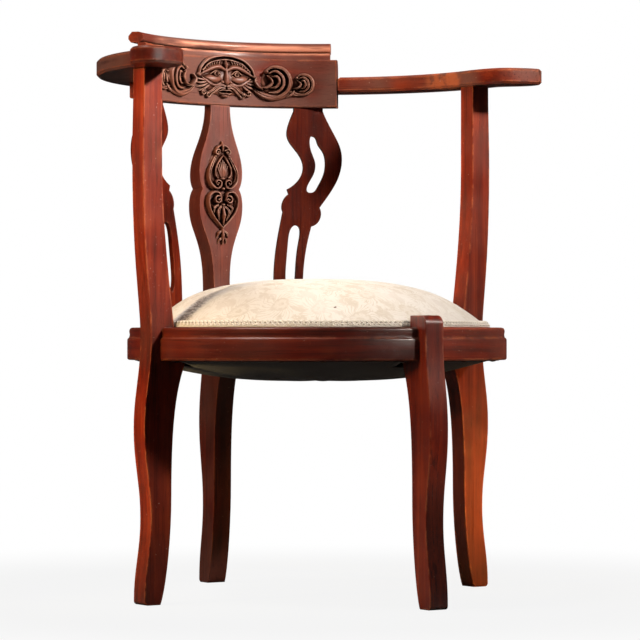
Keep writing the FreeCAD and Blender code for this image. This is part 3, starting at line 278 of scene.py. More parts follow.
def carved_wood(name):
    """Bronze-brown polish, with painted highlights on the high places and painted shade, near black, in the
    cuts.
    """
    g = Graph(name)
    place = g.place()
    hollow = g.node("AmbientOcclusion", {"samples": 8}, Distance=0.007).outputs["AO"]
    high = g.step(g.node("NewGeometry").outputs["Pointiness"], 0.505, 0.58)
    patchy = g.noise(place, 130.0, 4.0, 0.6)
    # Painted shade: nearly black deep in the cuts, lighter in the open
    colour = g.ramp(hollow, [
        (0.40, (0.005, 0.0018, 0.0012)), (0.74, (0.050, 0.014, 0.007)), (1.0, (0.140, 0.043, 0.023)),
    ])
    # Painted highlight on the high, convex places
    colour = g.mix(g.times(high, g.step(patchy, 0.30, 0.64)), colour, (0.50, 0.26, 0.18))
    fibre = g.noise(g.scaled(place, (600, 600, 80)), 1.0)
    open_air = g.step(hollow, 0.55, 0.95)
    rough = g.madd(open_air, -0.30, g.madd(patchy, 0.20, 0.64))
    return g.finish(
        Base_Color=colour, Roughness=rough, Normal=g.bump(g.math("ADD", fibre, patchy), 0.25, 0.0004),
        Specular_IOR_Level=g.times(open_air, 0.38),
    )


def plain_wood(name, colour):
    """Bare wood with a fine straight fibre."""
    g = Graph(name)
    fibre = g.noise(g.scaled(g.place(), (500, 500, 60)), 1.0, 4.0)
    tone = g.mix(g.step(fibre, 0.3, 0.7), tuple(c * 0.6 for c in colour), colour)
    return g.finish(Base_Color=tone, Roughness=0.6, Normal=g.bump(fibre, 0.3, 0.0004))


def old_steel(name, colour):
    """Dull steel with small rust spots."""
    g = Graph(name)
    spots = g.noise(g.place(), 700.0, 4.0)
    tone = g.mix(g.step(spots, 0.45, 0.65), colour, (0.12, 0.06, 0.03))
    return g.finish(
        Base_Color=tone, Metallic=0.9, Roughness=g.madd(spots, 0.3, 0.3), Normal=g.bump(spots, 0.3, 0.0003),
    )


# Cloth

DAMASK_GROUND = (0.740, 0.680, 0.620)
DAMASK_SHADE = (0.65, 0.57, 0.475)
DAMASK_FIGURE = (0.84, 0.79, 0.73)
DAMASK_SOIL = (0.095, 0.052, 0.022)
DAMASK_REPEAT = 0.078
WARP_PITCH, WEFT_PITCH = 0.00085, 0.0007
# Place and size as shares of the repeat, and number of petals
SPRIGS = ((0.33, 0.10), 0.11, 5), ((-0.30, -0.18), 0.10, 5), ((0.08, -0.36), 0.09, 4)


def around(g, place, centre):
    """Distance and angle of the place from a point of the repeat."""
    x, y, _ = g.split(place)
    x, y = g.math("SUBTRACT", x, centre[0]), g.math("SUBTRACT", y, centre[1])
    return g.math("SQRT", g.math("ADD", g.times(x, x), g.times(y, y))), g.math("ARCTAN2", y, x)


def petals(g, distance, angle, count, size, depth, twist=0.0):
    """A flower of that many petals, 1 inside and 0 outside. Twist bends them more the further out they are."""
    turn = g.madd(angle, count, g.times(distance, twist))
    lobe = g.math("ABSOLUTE", g.math("COSINE", g.times(turn, 0.5)))
    edge = g.madd(g.math("SQRT", lobe), depth, size - depth)
    return g.step(g.math("SUBTRACT", edge, distance), -0.02, 0.03)


def folded(g, place, offset):
    """The place within one repeat, centred, for a lattice moved by the offset."""
    moved = g.scaled(place, (1 / DAMASK_REPEAT, 1 / DAMASK_REPEAT, 1), (*offset, 0))
    return g.vector_math("SUBTRACT", g.vector_math("FRACTION", moved), (0.5, 0.5, 0.0))


def leaf_figure(g, place):
    """Scrolling leaf sprays with a rosette, on two lattices set half a repeat apart."""
    warp = g.noise(place, 34.0, 2.0)
    place = g.vector_math("ADD", place, g.vector(g.times(warp, 0.018), g.times(warp, -0.015), 0.0))
    figure = 0.0
    for offset in ((0.0, 0.0), (0.5, 0.5)):
        cell = folded(g, place, offset)
        distance, angle = around(g, cell, (0, 0))
        flower = petals(g, distance, angle, 7, 0.13, 0.06)
        flower = g.times(flower, g.step(distance, 0.03, 0.05, 0.0, 0.6))
        wave = g.math("SINE", g.madd(angle, 13.0, g.times(distance, 30.0)))
        vein = g.step(g.math("ABSOLUTE", wave), 0.2, 0.6)
        leaves = petals(g, distance, angle, 5, 0.40, 0.30, 7.0)
        leaves = g.times(leaves, g.times(g.step(distance, 0.15, 0.18), vein))
        spray = g.math("MAXIMUM", flower, leaves)
        for centre, size, count in SPRIGS:
            sprig = petals(g, *around(g, cell, centre), count, size, 0.07, 14.0)
            spray = g.math("MAXIMUM", spray, sprig)
        figure = g.math("MAXIMUM", figure, spray)
    return figure


def damask(name):
    """Ivory damask: a satin leaf figure on a matt ground, soiled where hands and clothes rub."""
    g = Graph(name)
    place = g.place()
    x, y, z = g.split(place)
    plan = g.scaled(place, (1, 1, 0), (0.013, 0.021, 0))
    elsewhere = g.scaled(plan, (1, 1, 1), (0.31, 0.17, 0))
    sway = [g.times(g.noise(spot, 34.0, 2.0), 0.020) for spot in (plan, elsewhere)]
    figure = leaf_figure(g, g.vector_math("ADD", plan, g.vector(*sway, 0.0)))
    tendril = g.noise(plan, 42.0, 3.0, 0.55, 1.2)
    tendril = g.step(g.math("ABSOLUTE", g.math("SUBTRACT", tendril, 0.5)), 0.016, 0.004)
    figure = g.math("MAXIMUM", figure, g.times(tendril, 0.8))
    warp = g.math("SINE", g.times(x, 2 * math.pi / WARP_PITCH))
    weft = g.math("SINE", g.times(y, 2 * math.pi / WEFT_PITCH))
    weave = g.mix(figure, g.times(warp, weft), weft)
    slub = g.noise(g.scaled(place, (900, 60, 200)), 1.0, 2.0)
    cloud = g.step(g.noise(plan, 13.0, 3.0, 0.55), 0.34, 0.66)
    colour = g.mix(g.times(figure, 0.70), g.mix(cloud, DAMASK_SHADE, DAMASK_GROUND), DAMASK_FIGURE)
    shadow = g.mix(g.step(slub, 0.35, 0.7), (0.955, 0.95, 0.94), (1, 1, 1))
    colour = g.mix(1.0, colour, shadow, "MULTIPLY")
    stain = g.step(g.noise(place, 14.0, 4.0, 0.6), 0.55, 0.80)
    colour = g.mix(g.times(stain, 0.18), colour, (0.62, 0.49, 0.34))
    # A brown band with dark grass-like strokes near the left edge, along a line of that slope
    slope, fold_y = 0.193, AXIS_Y + 0.034
    left = g.times(x, -1.0)
    across = g.math("ABSOLUTE", g.madd(x, -slope, g.math("SUBTRACT", y, fold_y)))
    smear = g.times(g.step(left, 0.085, 0.200), g.step(across, 0.017, 0.002))
    colour = g.mix(g.times(smear, 0.36), colour, (0.38, 0.22, 0.09))
    strokes = g.noise(g.scaled(place, (420, 110, 420)), 1.0, 3.0, 0.65, 0.6)
    strokes = g.times(g.step(strokes, 0.49, 0.55), g.step(across, 0.022, 0.006))
    strokes = g.times(strokes, g.step(left, 0.145, 0.200))
    colour = g.mix(g.times(strokes, 0.80), colour, DAMASK_SOIL)
    # A small oval speck near the middle
    oval = 1.6
    speck = g.vector_math("DISTANCE", g.scaled(place, (1, oval, 0)), (-0.0926, oval * (AXIS_Y - 0.180), 0))
    colour = g.mix(g.step(speck, 0.0026, 0.0018), colour, DAMASK_SOIL)
    edge = g.step(z, RAIL_TOP + 0.012, RAIL_TOP + 0.002)
    colour = g.mix(g.times(edge, 0.12), colour, (0.50, 0.38, 0.25))
    height = g.madd(weave, 0.35, g.times(figure, 0.9))
    return g.finish(
        Base_Color=colour, Roughness=g.madd(figure, -0.22, 0.74), Normal=g.bump(height, 0.5, 0.0004),
        Sheen_Weight=0.15, Sheen_Roughness=0.4, Specular_IOR_Level=0.35,
    )


def woven(name, colour, dark, pitch):
    """A plain weave of the given thread pitch, in metres."""
    g = Graph(name)
    place = g.place()
    x, y, _ = g.split(place)
    over, under = (g.math("SINE", g.times(way, math.pi / pitch)) for way in (x, y))
    fuzz, blotch = g.noise(place, 900.0), g.noise(place, 22.0, 4.0)
    tone = g.madd(g.times(over, under), 0.22, g.madd(fuzz, 0.5, g.times(blotch, 0.4)))
    return g.finish(
        Base_Color=g.mix(g.step(tone, 0.2, 0.75), dark, colour), Roughness=0.9,
        Normal=g.bump(tone, 0.6, 0.0006), Sheen_Weight=0.15,
    )


def gimp(name):
    """Ivory silk cord with a row of small dark gaps between its loops."""
    g = Graph(name)
    x, y, z = g.split(g.place())
    bearing = g.math("ARCTAN2", x, g.math("SUBTRACT", y, AXIS_Y))
    twist = g.math("SINE", g.madd(bearing, 1500.0, g.times(z, 2600.0)))
    level = g.math("ABSOLUTE", g.math("SUBTRACT", z, RAIL_TOP + 0.0062))
    gap = g.step(g.math("COSINE", g.times(bearing, 220.0)), 0.20, 0.55)
    gap = g.times(gap, g.step(level, 0.0010, 0.0005))
    fuzz = g.noise(g.place(), 240.0)
    colour = g.mix(g.step(fuzz, 0.35, 0.65), (0.80, 0.73, 0.63), (0.88, 0.83, 0.75))
    colour = g.mix(g.times(gap, 0.6), colour, (0.14, 0.09, 0.05))
    return g.finish(Base_Color=colour, Roughness=0.75, Normal=g.bump(twist, 0.25, 0.0003), Sheen_Weight=0.15)


# Meshes


def turned(radius, angle, height):
    """A point at that distance and bearing from the chair's axis."""
    return radius * math.cos(angle), AXIS_Y + radius * math.sin(angle), height


def disc_faces(rings, spokes):
    """Faces of a disc that is seen from above: its middle point, then the points ring by ring."""
    faces = [(0, 1 + s, 1 + (s + 1) % spokes) for s in range(spokes)]
    for ring in range(1, rings):
        base, above = 1 + (ring - 1) * spokes, 1 + ring * spokes
        for s in range(spokes):
            t = (s + 1) % spokes
            faces.append((base + s, above + s, above + t, base + t))
    return faces


def mesh_piece(name, points, faces, material):
    """A modelled piece that rides on the chair and stands in the given material slot."""
    data = bpy.data.meshes.new(name)
    data.from_pydata(points, [], faces)
    data.validate()
    data.shade_smooth()
    data.materials.append(material)
    piece = placed(name, data)
    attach(piece, "root")
    return piece


def soften_edges(piece, width):
    """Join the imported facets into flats, then round the arrises that a hand would feel."""
    data = piece.data
    with bpy.context.temp_override(object=piece, active_object=piece, selected_objects=[piece]):
        if data.has_custom_normals:
            bpy.ops.mesh.customdata_custom_splitnormals_clear()
    data.shade_smooth()
    put(piece.modifiers.new("Weld", "WELD"), merge_threshold=2e-5)
    put(piece.modifiers.new("Flats", "DECIMATE"), decimate_type="DISSOLVE", angle_limit=math.radians(0.6))
    put(
        piece.modifiers.new("Arris", "BEVEL"), width=width, segments=3, limit_method="ANGLE",
        angle_limit=math.radians(28), harden_normals=True,
    )


# Relief carving


def smooth_path(points):
    """A smooth curve through the points, as an array. Two points give a straight line."""
    points = np.array(points, float)
    if len(points) < 3:
        return points
    ends = np.vstack([2 * points[0] - points[1], points, 2 * points[-1] - points[-2]])
    share = np.linspace(0, 1, 14, endpoint=False)[:, None]
    spans = []
    for a, b, c, d in zip(ends, ends[1:], ends[2:], ends[3:]):
        spans.append(0.5 * (
            2 * b + (c - a) * share + (2 * a - 5 * b + 4 * c - d) * share ** 2
            + (3 * b - a - 3 * c + d) * share ** 3
        ))
    return np.vstack([*spans, points[-1:]])


# In millimetres: the hollow where two rolls meet, the height at which the relief is cut off, and how deep its
# walls reach into the wood
FILLET, CUT_OFF, ROOT = 1.6, 0.25, -0.3


class Relief:
    """A height field in millimetres over a flat drawing, which is wrapped on the wood afterwards.

    The tools that take mirror also cut the same shape on the other side of the middle."""

    def __init__(self, low, high, pitch):
        self.across = np.arange(low[0], high[0] + pitch, pitch)
        self.up = np.arange(low[1], high[1] + pitch, pitch)
        self.s, self.z = np.meshgrid(self.across, self.up)
        self.height = np.zeros_like(self.s)

    def raise_to(self, rise):
        """Take the higher of the two surfaces, with a small hollow fillet where they meet."""
        both = (rise > 0) & (self.height > 0)
        gap = np.clip(FILLET - np.abs(self.height - rise), 0, None)
        self.height = np.maximum(self.height, rise) + np.where(both, gap ** 2 / (4 * FILLET), 0)

    def near(self, points, mirror):
        """For the path and its mirror image: distance to it, and how far along it the nearest point is."""
        for side in (1, -1) if mirror else (1,):
            path = smooth_path([(x * side, z) for x, z in points])
            best = np.full(self.s.shape, 1e9)
            share = np.zeros_like(best)
            legs = np.linalg.norm(np.diff(path, axis=0), axis=1)
            total, run = legs.sum(), 0.0
            for a, b, leg in zip(path, path[1:], legs):
                way = (b - a) / leg
                t = np.clip((self.s - a[0]) * way[0] + (self.z - a[1]) * way[1], 0, leg)
                d = np.hypot(self.s - a[0] - t * way[0], self.z - a[1] - t * way[1])
                closer = d < best
                best = np.where(closer, d, best)
                share = np.where(closer, (run + t) / total, share)
                run += leg
            yield best, share

    def away(self, centre, size, mirror):
        """For the centre and its mirror image: distance from it, in units of the size."""
        for side in (1, -1) if mirror else (1,):
            yield np.hypot((self.s - centre[0] * side) / size[0], (self.z - centre[1]) / size[1])

    def ridge(self, points, widths, heights, mirror=False, sharp=0.5, cut=0.0):
        """A rounded roll along a path. Widths and heights change evenly from its start to its end.
        With cut, a vein of that depth runs down the middle of the roll."""
        for distance, share in self.near(points, mirror):
            half = np.interp(share, np.linspace(0, 1, len(widths)), widths)
            rise = np.interp(share, np.linspace(0, 1, len(heights)), heights)
            body = np.clip(1 - (distance / half) ** 2, 0, 1)
            roll = rise * body ** sharp
            if cut:
                roll -= cut * np.exp(-((distance / (0.22 * half)) ** 2)) * (body > 0)
            self.raise_to(roll)

    def boss(self, centre, size, height, mirror=False, sharp=0.5):
        """A rounded knob of the given half-width and half-height."""
        for away in self.away(centre, size, mirror):
            self.raise_to(height * np.clip(1 - away ** 2, 0, 1) ** sharp)

    def ring_pair(self, centre, radius, half, height):
        """A rounded ring on each side."""
        for away in self.away(centre, (1, 1), True):
            self.raise_to(height * np.sqrt(np.clip(1 - ((away - radius) / half) ** 2, 0, 1)))

    def pit_pair(self, centre, size, depth):
        """A soft hollow on each side."""
        for away in self.away(centre, size, True):
            self.height -= depth * np.exp(-(away ** 2) * 2)

    def groove(self, points, half, depth, mirror=False):
        """A soft cut along a path."""
        for distance, _ in self.near(points, mirror):
            self.height -= depth * np.exp(-((distance / half) ** 2)) * (self.height > 0)

    def piece(self, name, place, material):
        """The mesh: where the relief stands proud, and a wall down into the wood round it."""
        proud = self.height > CUT_OFF
        used = proud[:-1, :-1] & proud[1:, :-1] & proud[:-1, 1:] & proud[1:, 1:]
        index = -np.ones(self.height.shape, int)
        points, faces, cells = [], [], []

        def vertex(row, column):
            if index[row, column] < 0:
                index[row, column] = len(points)
                cells.append((row, column))
                points.append(place(self.across[column], self.up[row], self.height[row, column]))
            return index[row, column]

        for r, c in zip(*np.nonzero(used)):
            faces.append((vertex(r, c), vertex(r, c + 1), vertex(r + 1, c + 1), vertex(r + 1, c)))
        edges = dict.fromkeys(edge for face in faces for edge in zip(face, face[1:] + face[:1]))
        sunk = {}
        for a, b in edges:
            if (b, a) in edges:
                continue
            for v in (a, b):
                if v not in sunk:
                    row, column = cells[v]
                    sunk[v] = len(points)
                    points.append(place(self.across[column], self.up[row], ROOT))
            faces.append((b, a, sunk[a], sunk[b]))
        return mesh_piece(name, points, faces, material)


def on_crest(across, up, height):
    """A point of the crest rail's curved front: across and up from its middle and underside, in millimetres."""
    radius = CREST_FRONT - height / 1000
    bearing = across / 1000 / CREST_FRONT
    return radius * math.sin(bearing), AXIS_Y + radius * math.cos(bearing), CREST_BOTTOM + up / 1000


# Where the carving sits on the crest, in millimetres, and how much its drawing is stretched
MASK_ASIDE, MASK_RAISE = 5.0, 5.2
MASK_WIDTH, MASK_HEIGHT, MASK_DEPTH = 0.96, 0.92, 0.75
SCROLL_RAISE, SCROLL_DEPTH = 3.0, 0.85


def mask_relief():
    """A whiskered grotesque mask with leaf ends, under a double-rimmed ribbed fan."""
    r = Relief((-58, 5), (58, 76), 0.42)
    r.boss((0, 44), (49, 29), 4.5, sharp=0.3)
    r.boss((0, 34), (42, 25), 8.5)
    for rib in range(8):
        foot = (12 + 4.1 * rib, 55.5 - 0.16 * rib ** 2)
        tip = (10 + 4.6 * rib, 64.5 - 0.30 * rib ** 2)
        bend = ((foot[0] + tip[0]) / 2 + 1.2, (foot[1] + tip[1]) / 2)
        r.ridge([foot, bend, tip], (1.3, 1.9, 1.5), (8.0, 8.6, 7.0), True)
    r.ridge([(-50, 42), (-45, 54), (-29, 67), (0, 72.5), (29, 67), (45, 54), (50, 42)],
            (2.5, 2.8, 2.5), (8.0, 10.0, 8.0))
    r.ridge([(-44, 43), (-39, 52), (-26, 61.5), (0, 66.5), (26, 61.5), (39, 52), (44, 43)],
            (1.7, 1.9, 1.7), (7.2, 8.8, 7.2))
    r.groove([(-47, 43), (-42, 53), (-28, 64), (0, 69.6), (28, 64), (42, 53), (47, 43)], 1.0, 3.0)
    r.boss((50, 41), (4.0, 3.6), 9.0, True)
    r.ridge([(0, 64), (0, 59), (0, 55)], (3.0, 4.6, 4.2), (9, 12.5, 12.0))
    # Brows, cheeks and the folds under them
    r.ridge([(3, 50), (12, 54), (23, 53), (35, 48), (47, 41.5)],
            (3.6, 5.2, 5.0, 3.6, 2.0), (12.5, 13.5, 12.5, 10, 7), True)
    r.boss((23, 34.5), (19.5, 10.0), 13.0, True, sharp=0.6)
    r.ridge([(9, 30), (20, 25.6), (32, 29), (43, 37)], (2.6, 3.2, 3.0, 1.8), (10.5, 11, 10, 7), True)
    r.groove([(10, 32.6), (20, 28.6), (31, 31.6), (41, 38)], 1.0, 1.8, True)
    # Eyes: socket, ball, iris, pupil and lids
    eye = (18.5, 43.2)
    r.pit_pair((18.5, 43.4), (9.0, 5.0), 5.0)
    r.boss(eye, (5.6, 4.8), 10.5, True)
    r.ring_pair(eye, 3.4, 1.1, 11.8)
    r.pit_pair(eye, (1.7, 1.7), 3.4)
    r.ridge([(9.5, 42.5), (18.5, 48.6), (29, 42.6)], (1.0, 1.5, 0.9), (9, 12, 8.5), True)
    r.ridge([(10, 41.2), (18.5, 37.6), (29, 41)], (0.9, 1.4, 0.9), (9, 11.6, 8.5), True)
    # Nose
    r.ridge([(0, 52), (0, 44), (0, 35), (0, 31)], (3.6, 4.2, 6.2, 7.2), (12.0, 13.0, 15.5, 15.5))
    r.boss((7.0, 30.5), (4.8, 4.2), 13.0, True)
    r.pit_pair((4.2, 26.4), (1.8, 1.2), 5.0)
    # Whiskers, moustache and its curled ends
    for hair in (
        [(35, 33.5), (45, 33.5), (56, 36.5)], [(35, 30.5), (46, 28.5), (56.5, 29.5)],
        [(33, 28), (43, 23.5), (53, 22)], [(30, 26), (39, 19.5), (48, 15.5)],
    ):
        r.ridge(hair, (2.2, 2.4, 0.8), (8.5, 7.5, 4.0), True, cut=0.8)
    r.ridge([(2, 24.5), (10, 26), (19, 22), (27, 15.5), (35, 13.5)],
            (2.8, 3.6, 3.4, 3.0, 1.4), (13, 12, 10.5, 8.5, 5.5), True, cut=1.6)
    r.ridge([(3, 21), (11, 21.5), (19, 16), (26, 10.5)], (2.0, 2.8, 2.6, 1.2), (12, 11, 9, 6), True, cut=1.2)
    for centre, start in (((40.5, 14.5), 200), ((31, 10.8), 190)):
        r.ridge(spiral(centre, start, start + 300, 4.6, 0.6), (1.3, 1.7, 1.2), (6.0, 7.5, 7.5), True)
        r.boss(centre, (1.8, 1.8), 7.6, True)
    # Mouth and chin
    r.ridge([(0, 17.6), (6, 18.4), (13, 15.8)], (1.8, 2.0, 0.8), (11.5, 11, 7), True)
    r.ridge([(0, 12.8), (6, 12.2), (12, 14.6)], (2.2, 2.0, 0.8), (11, 10.4, 6), True)
    r.groove([(-12, 15.3), (-6, 15.6), (0, 15.0), (6, 15.6), (12, 15.3)], 0.9, 4.0)
    r.boss((0, 9.6), (8.0, 3.8), 8.5)

    def place_on(across, up, height):
        return on_crest(MASK_WIDTH * across + MASK_ASIDE, MASK_HEIGHT * up + MASK_RAISE, MASK_DEPTH * height)

    return r.piece("carved_mask", place_on, carving)


def spiral(centre, start, end, radius, shrink):
    """Points of a scroll that turns from start to end in degrees, as its radius shrinks by that share."""
    points = []
    for share in np.linspace(0, 1, 9):
        angle = math.radians(start + (end - start) * share)
        reach = radius * (1 - share * shrink)
        points.append((centre[0] + reach * math.cos(angle), centre[1] + reach * math.sin(angle)))
    return points


def scroll_relief(hand):
    """Two rolled leaves beside the mask, a large and a small one, each of tapering lobes that sweep over.
    Hand is 1 on the right and -1 on the left."""
    r = Relief((50, 3), (148, 60), 0.42)
    stem = [(53, 22), (64, 15), (79, 11), (95, 13), (108, 18), (118, 16), (130, 17)]
    r.ridge(stem, (2.5, 4.5, 5.5, 5.0, 4.0, 3.5, 2.0), (5, 7, 7.5, 6.5, 5.5, 5.0, 3.5), sharp=0.4, cut=1.6)
    middle = (86, 33)
    r.boss(middle, (21, 20), 3.5, sharp=0.3)
    r.boss((129, 30), (13, 13), 3.0, sharp=0.3)
    lobes = (
        ([(71, 50), (82, 55), (97, 52), (107, 39), (104, 22), (90, 12), (74, 11)], 4.4),
        ([(75, 46), (86, 49), (96, 41), (97, 28), (88, 19), (76, 18)], 3.9),
        ([(80, 41), (88, 41), (91, 33), (86, 26), (77, 25)], 3.2),
        ([(72, 43), (79, 36), (79, 30), (72, 25), (64, 25)], 2.5),
        ([(66, 22), (58, 26), (53, 33), (56, 40)], 2.2),
    )
    for centre, size, count in ((middle, 1.0, 5), ((128, 30), 0.66, 4)):
        for number, (lobe, half) in enumerate(lobes[:count]):
            path = [(centre[0] + size * (x - middle[0]), centre[1] + size * (z - middle[1])) for x, z in lobe]
            half *= 0.4 + 0.6 * size
            tall = (6 + 5.0 * size) + 0.7 * number
            r.ridge(
                path, (0.25 * half, 0.8 * half, half, half, 0.8 * half, 0.3 * half),
                (tall - 3.5, tall, tall + 1.5, tall + 1, tall - 1.5, tall - 4.5), cut=1.0,
            )
        eye = (centre[0] - 14 * size, centre[1] + 15 * size)
        r.boss(eye, (3.4 * size, 3.4 * size), 7 + 5 * size)
    for bend in ([(98, 14), (106, 22), (111, 32), (111, 41)], [(103, 12), (112, 17), (116, 26)]):
        r.ridge(bend, (1.4, 2.4, 2.0, 0.6), (6, 8, 7, 4), cut=1.0)
    side = "left" if hand < 0 else "right"

    def place_on(across, up, height):
        return on_crest(hand * across, up + SCROLL_RAISE, SCROLL_DEPTH * height)

    piece = r.piece("carved_scroll_" + side, place_on, carving)
    if hand < 0:
        piece.data.flip_normals()
    return piece


POST_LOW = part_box("post_drop")
POST_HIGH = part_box("post_cartouche")
POST_WIDEN, POST_DEEPEN = 1.12, 1.25


def on_post(across, up, height):
    """A point of the back post's sloping front, from its middle and the floor, in millimetres."""
    share = (up / 1000 - POST_LOW[0].z) / (POST_HIGH[1].z - POST_LOW[0].z)
    front = POST_LOW[1].y + (POST_HIGH[1].y - POST_LOW[1].y) * share
    return across * POST_WIDEN / 1000, front - height * POST_DEEPEN / 1000, up / 1000


def cartouche_relief():
    """A palmette in a pointed frame between two scrolls."""
    r = Relief((-29, 570), (29, 643), 0.34)
    r.boss((0, 601), (20, 27), 2.6, sharp=0.3)
    r.ridge([(0, 641), (0, 634), (0, 628)], (1.2, 3.0, 2.2), (3.5, 6.5, 5.5))
    r.ridge([(2, 636), (7, 633), (11, 628)], (1.4, 2.2, 1.4), (4.5, 6, 4.5), True)
    r.ridge(spiral((7.5, 625.5), 150, -190, 4.6, 0.55), (1.2, 1.6, 1.2), (5.5, 6.5, 7), True)
    r.boss((7.5, 625.5), (1.8, 1.8), 7.0, True)
    r.ridge([(10, 620), (15, 610), (20.5, 597), (20, 583), (12, 573.5), (4.5, 575), (3.4, 582)],
            (1.8, 2.4, 3.0, 3.0, 2.8, 2.2, 1.6), (5, 6, 7, 7, 7.5, 7, 6.5), True)
    r.groove([(11, 618), (16.5, 607), (20.5, 595), (18.5, 583), (11, 576.5)], 0.8, 2.2, True)
    r.ridge(spiral((8.2, 580.5), 250, -80, 6.0, 0.62), (1.8, 2.0, 1.4), (6.5, 7.5, 7.5), True)
    r.boss((8.2, 580.5), (2.2, 2.2), 8.0, True)
    r.ridge([(0, 621), (6, 613), (11.5, 602), (11.5, 593), (8.5, 588.5)], (1.4, 1.6, 1.8, 1.6, 1.2),
            (6.5, 6.5, 6.5, 6.5, 6), True)
    for place in range(4):
        tip = (2.6 * place, 614 - 2.8 * place)
        r.ridge([(0.6 * place, 588), tip], (1.0, 2.0, 1.2), (4.0, 5.6 - 0.4 * place, 4.0), True)
    r.boss((0, 587), (4.2, 2.2), 7.0)
    r.boss((0, 572.5), (4.0, 3.2), 7.5, sharp=0.8)
    return r.piece("carved_cartouche", on_post, carving)


def drop_relief():
    """A heart of two scrolls round a husk of three leaves, with a bud below."""
    r = Relief((-29, 490), (29, 572), 0.34)
    r.boss((0, 545), (18, 22), 2.2, sharp=0.3)
    r.ridge([(3.5, 556), (6, 565), (14, 567.5), (21, 561), (21.5, 549), (17, 537), (9, 526), (0, 516)],
            (2.2, 2.6, 3.0, 3.2, 3.0, 2.8, 2.2, 1.6), (7, 7.5, 7.5, 7.5, 7, 6.5, 6, 5), True)
    r.groove([(8, 565.5), (14, 565.5), (19.6, 559), (19.6, 549), (15.4, 538), (7, 526)], 0.8, 2.4, True)
    r.ridge(spiral((8.0, 556.5), 120, -230, 6.2, 0.62), (1.8, 2.2, 1.4), (7, 8, 8), True)
    r.boss((8.0, 556.5), (2.4, 2.4), 8.6, True)
    r.boss((0, 549.5), (4.4, 2.6), 7.4, sharp=0.8)
    r.ridge([(0, 547), (0, 535), (0, 521)], (2.4, 4.4, 1.6), (6, 9.5, 6))
    r.ridge([(3, 547), (8.2, 539), (5.6, 527)], (2.0, 3.6, 1.2), (6, 8.6, 5.0), True, cut=1.2)
    r.ridge([(7, 549), (13.2, 545), (13.0, 537)], (1.6, 3.0, 1.1), (5.4, 7.4, 4.4), True, cut=1.0)
    r.ridge([(0, 516), (0, 504), (0, 492)], (2.4, 3.4, 1.0), (5.4, 6.4, 3.6))
    r.ridge([(1, 512), (6, 508), (8, 502)], (1.6, 2.6, 1.0), (4.8, 5.6, 3.2), True, cut=0.8)
    r.ridge([(1, 502), (5, 498), (6, 493.5)], (1.4, 2.2, 0.9), (4.4, 5.0, 3.0), True, cut=0.8)
    return r.piece("carved_drop", on_post, carving)


# Seat

# Sizes in metres. The roll's place and half-width are shares of the seat's radius
ROLL_HEIGHT, ROLL_AT, ROLL_HALF = 0.0034, 0.72, 0.16
TACK_DENT = 0.0011
PRESSURE, SETTLE_FRAMES, SETTLE_MOST = 3.0, 20, 0.004
BRAID_LOOPS, LOOP_POINTS = 210, 10
DUST_CLOTH_THICKNESS = 0.0008
TACKS, TACK_RADIUS = 28, 0.0042


def dome_height(share, side):
    """Height of the cover above the rail: level in the middle, with a roll towards the edge that stands higher
    where side is positive."""
    roll = math.exp(-((share - ROLL_AT) / ROLL_HALF) ** 2)
    return (SEAT_CROWN - RAIL_TOP - 0.004) * (1 - share ** 3.0) + ROLL_HEIGHT * roll * (1.0 + 0.5 * side)


def seat_piece():
    """The stuffed seat: a domed cover tacked down round its edge, with pulls between the tacks."""
    rings, spokes, edge_from = 44, 168, 0.86
    sway = np.random.default_rng(11).uniform(-1, 1, spokes)
    points = [(0, AXIS_Y, RAIL_TOP + dome_height(0, 0))]
    for ring in range(1, rings + 1):
        share = (ring / rings) ** 0.9
        near_edge = max(0.0, (share - edge_from) / (1 - edge_from))
        for spoke in range(spokes):
            angle = TURN * spoke / spokes
            pull = 0.5 * math.sin(TURN * spoke / 4) + 0.5 * sway[spoke]
            dent = TACK_DENT * pull * math.sin(near_edge * math.pi)
            height = dome_height(share, -math.cos(angle)) + dent
            points.append(turned((SEAT_RADIUS - 0.001) * share, angle, RAIL_TOP + 0.0004 + height))
    faces = disc_faces(rings, spokes)
    # The underside: in under the edge, then flat to the middle
    last, centre, inner = 1 + (rings - 1) * spokes, len(points), len(points) + 1
    under = RAIL_TOP + 0.0035
    points.append((0, AXIS_Y, under))
    points.extend(turned(0.9 * SEAT_RADIUS, TURN * s / spokes, under) for s in range(spokes))
    for s in range(spokes):
        t = (s + 1) % spokes
        faces.append((last + s, inner + s, inner + t, last + t))
        faces.append((centre, inner + t, inner + s))
    piece = mesh_piece("damask_seat", points, faces, damask("damask"))
    inflate(piece, rings, spokes)
    put(piece.modifiers.new("Smooth", "SUBSURF"), levels=1, render_levels=1)
    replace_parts(piece, "seat_cover")


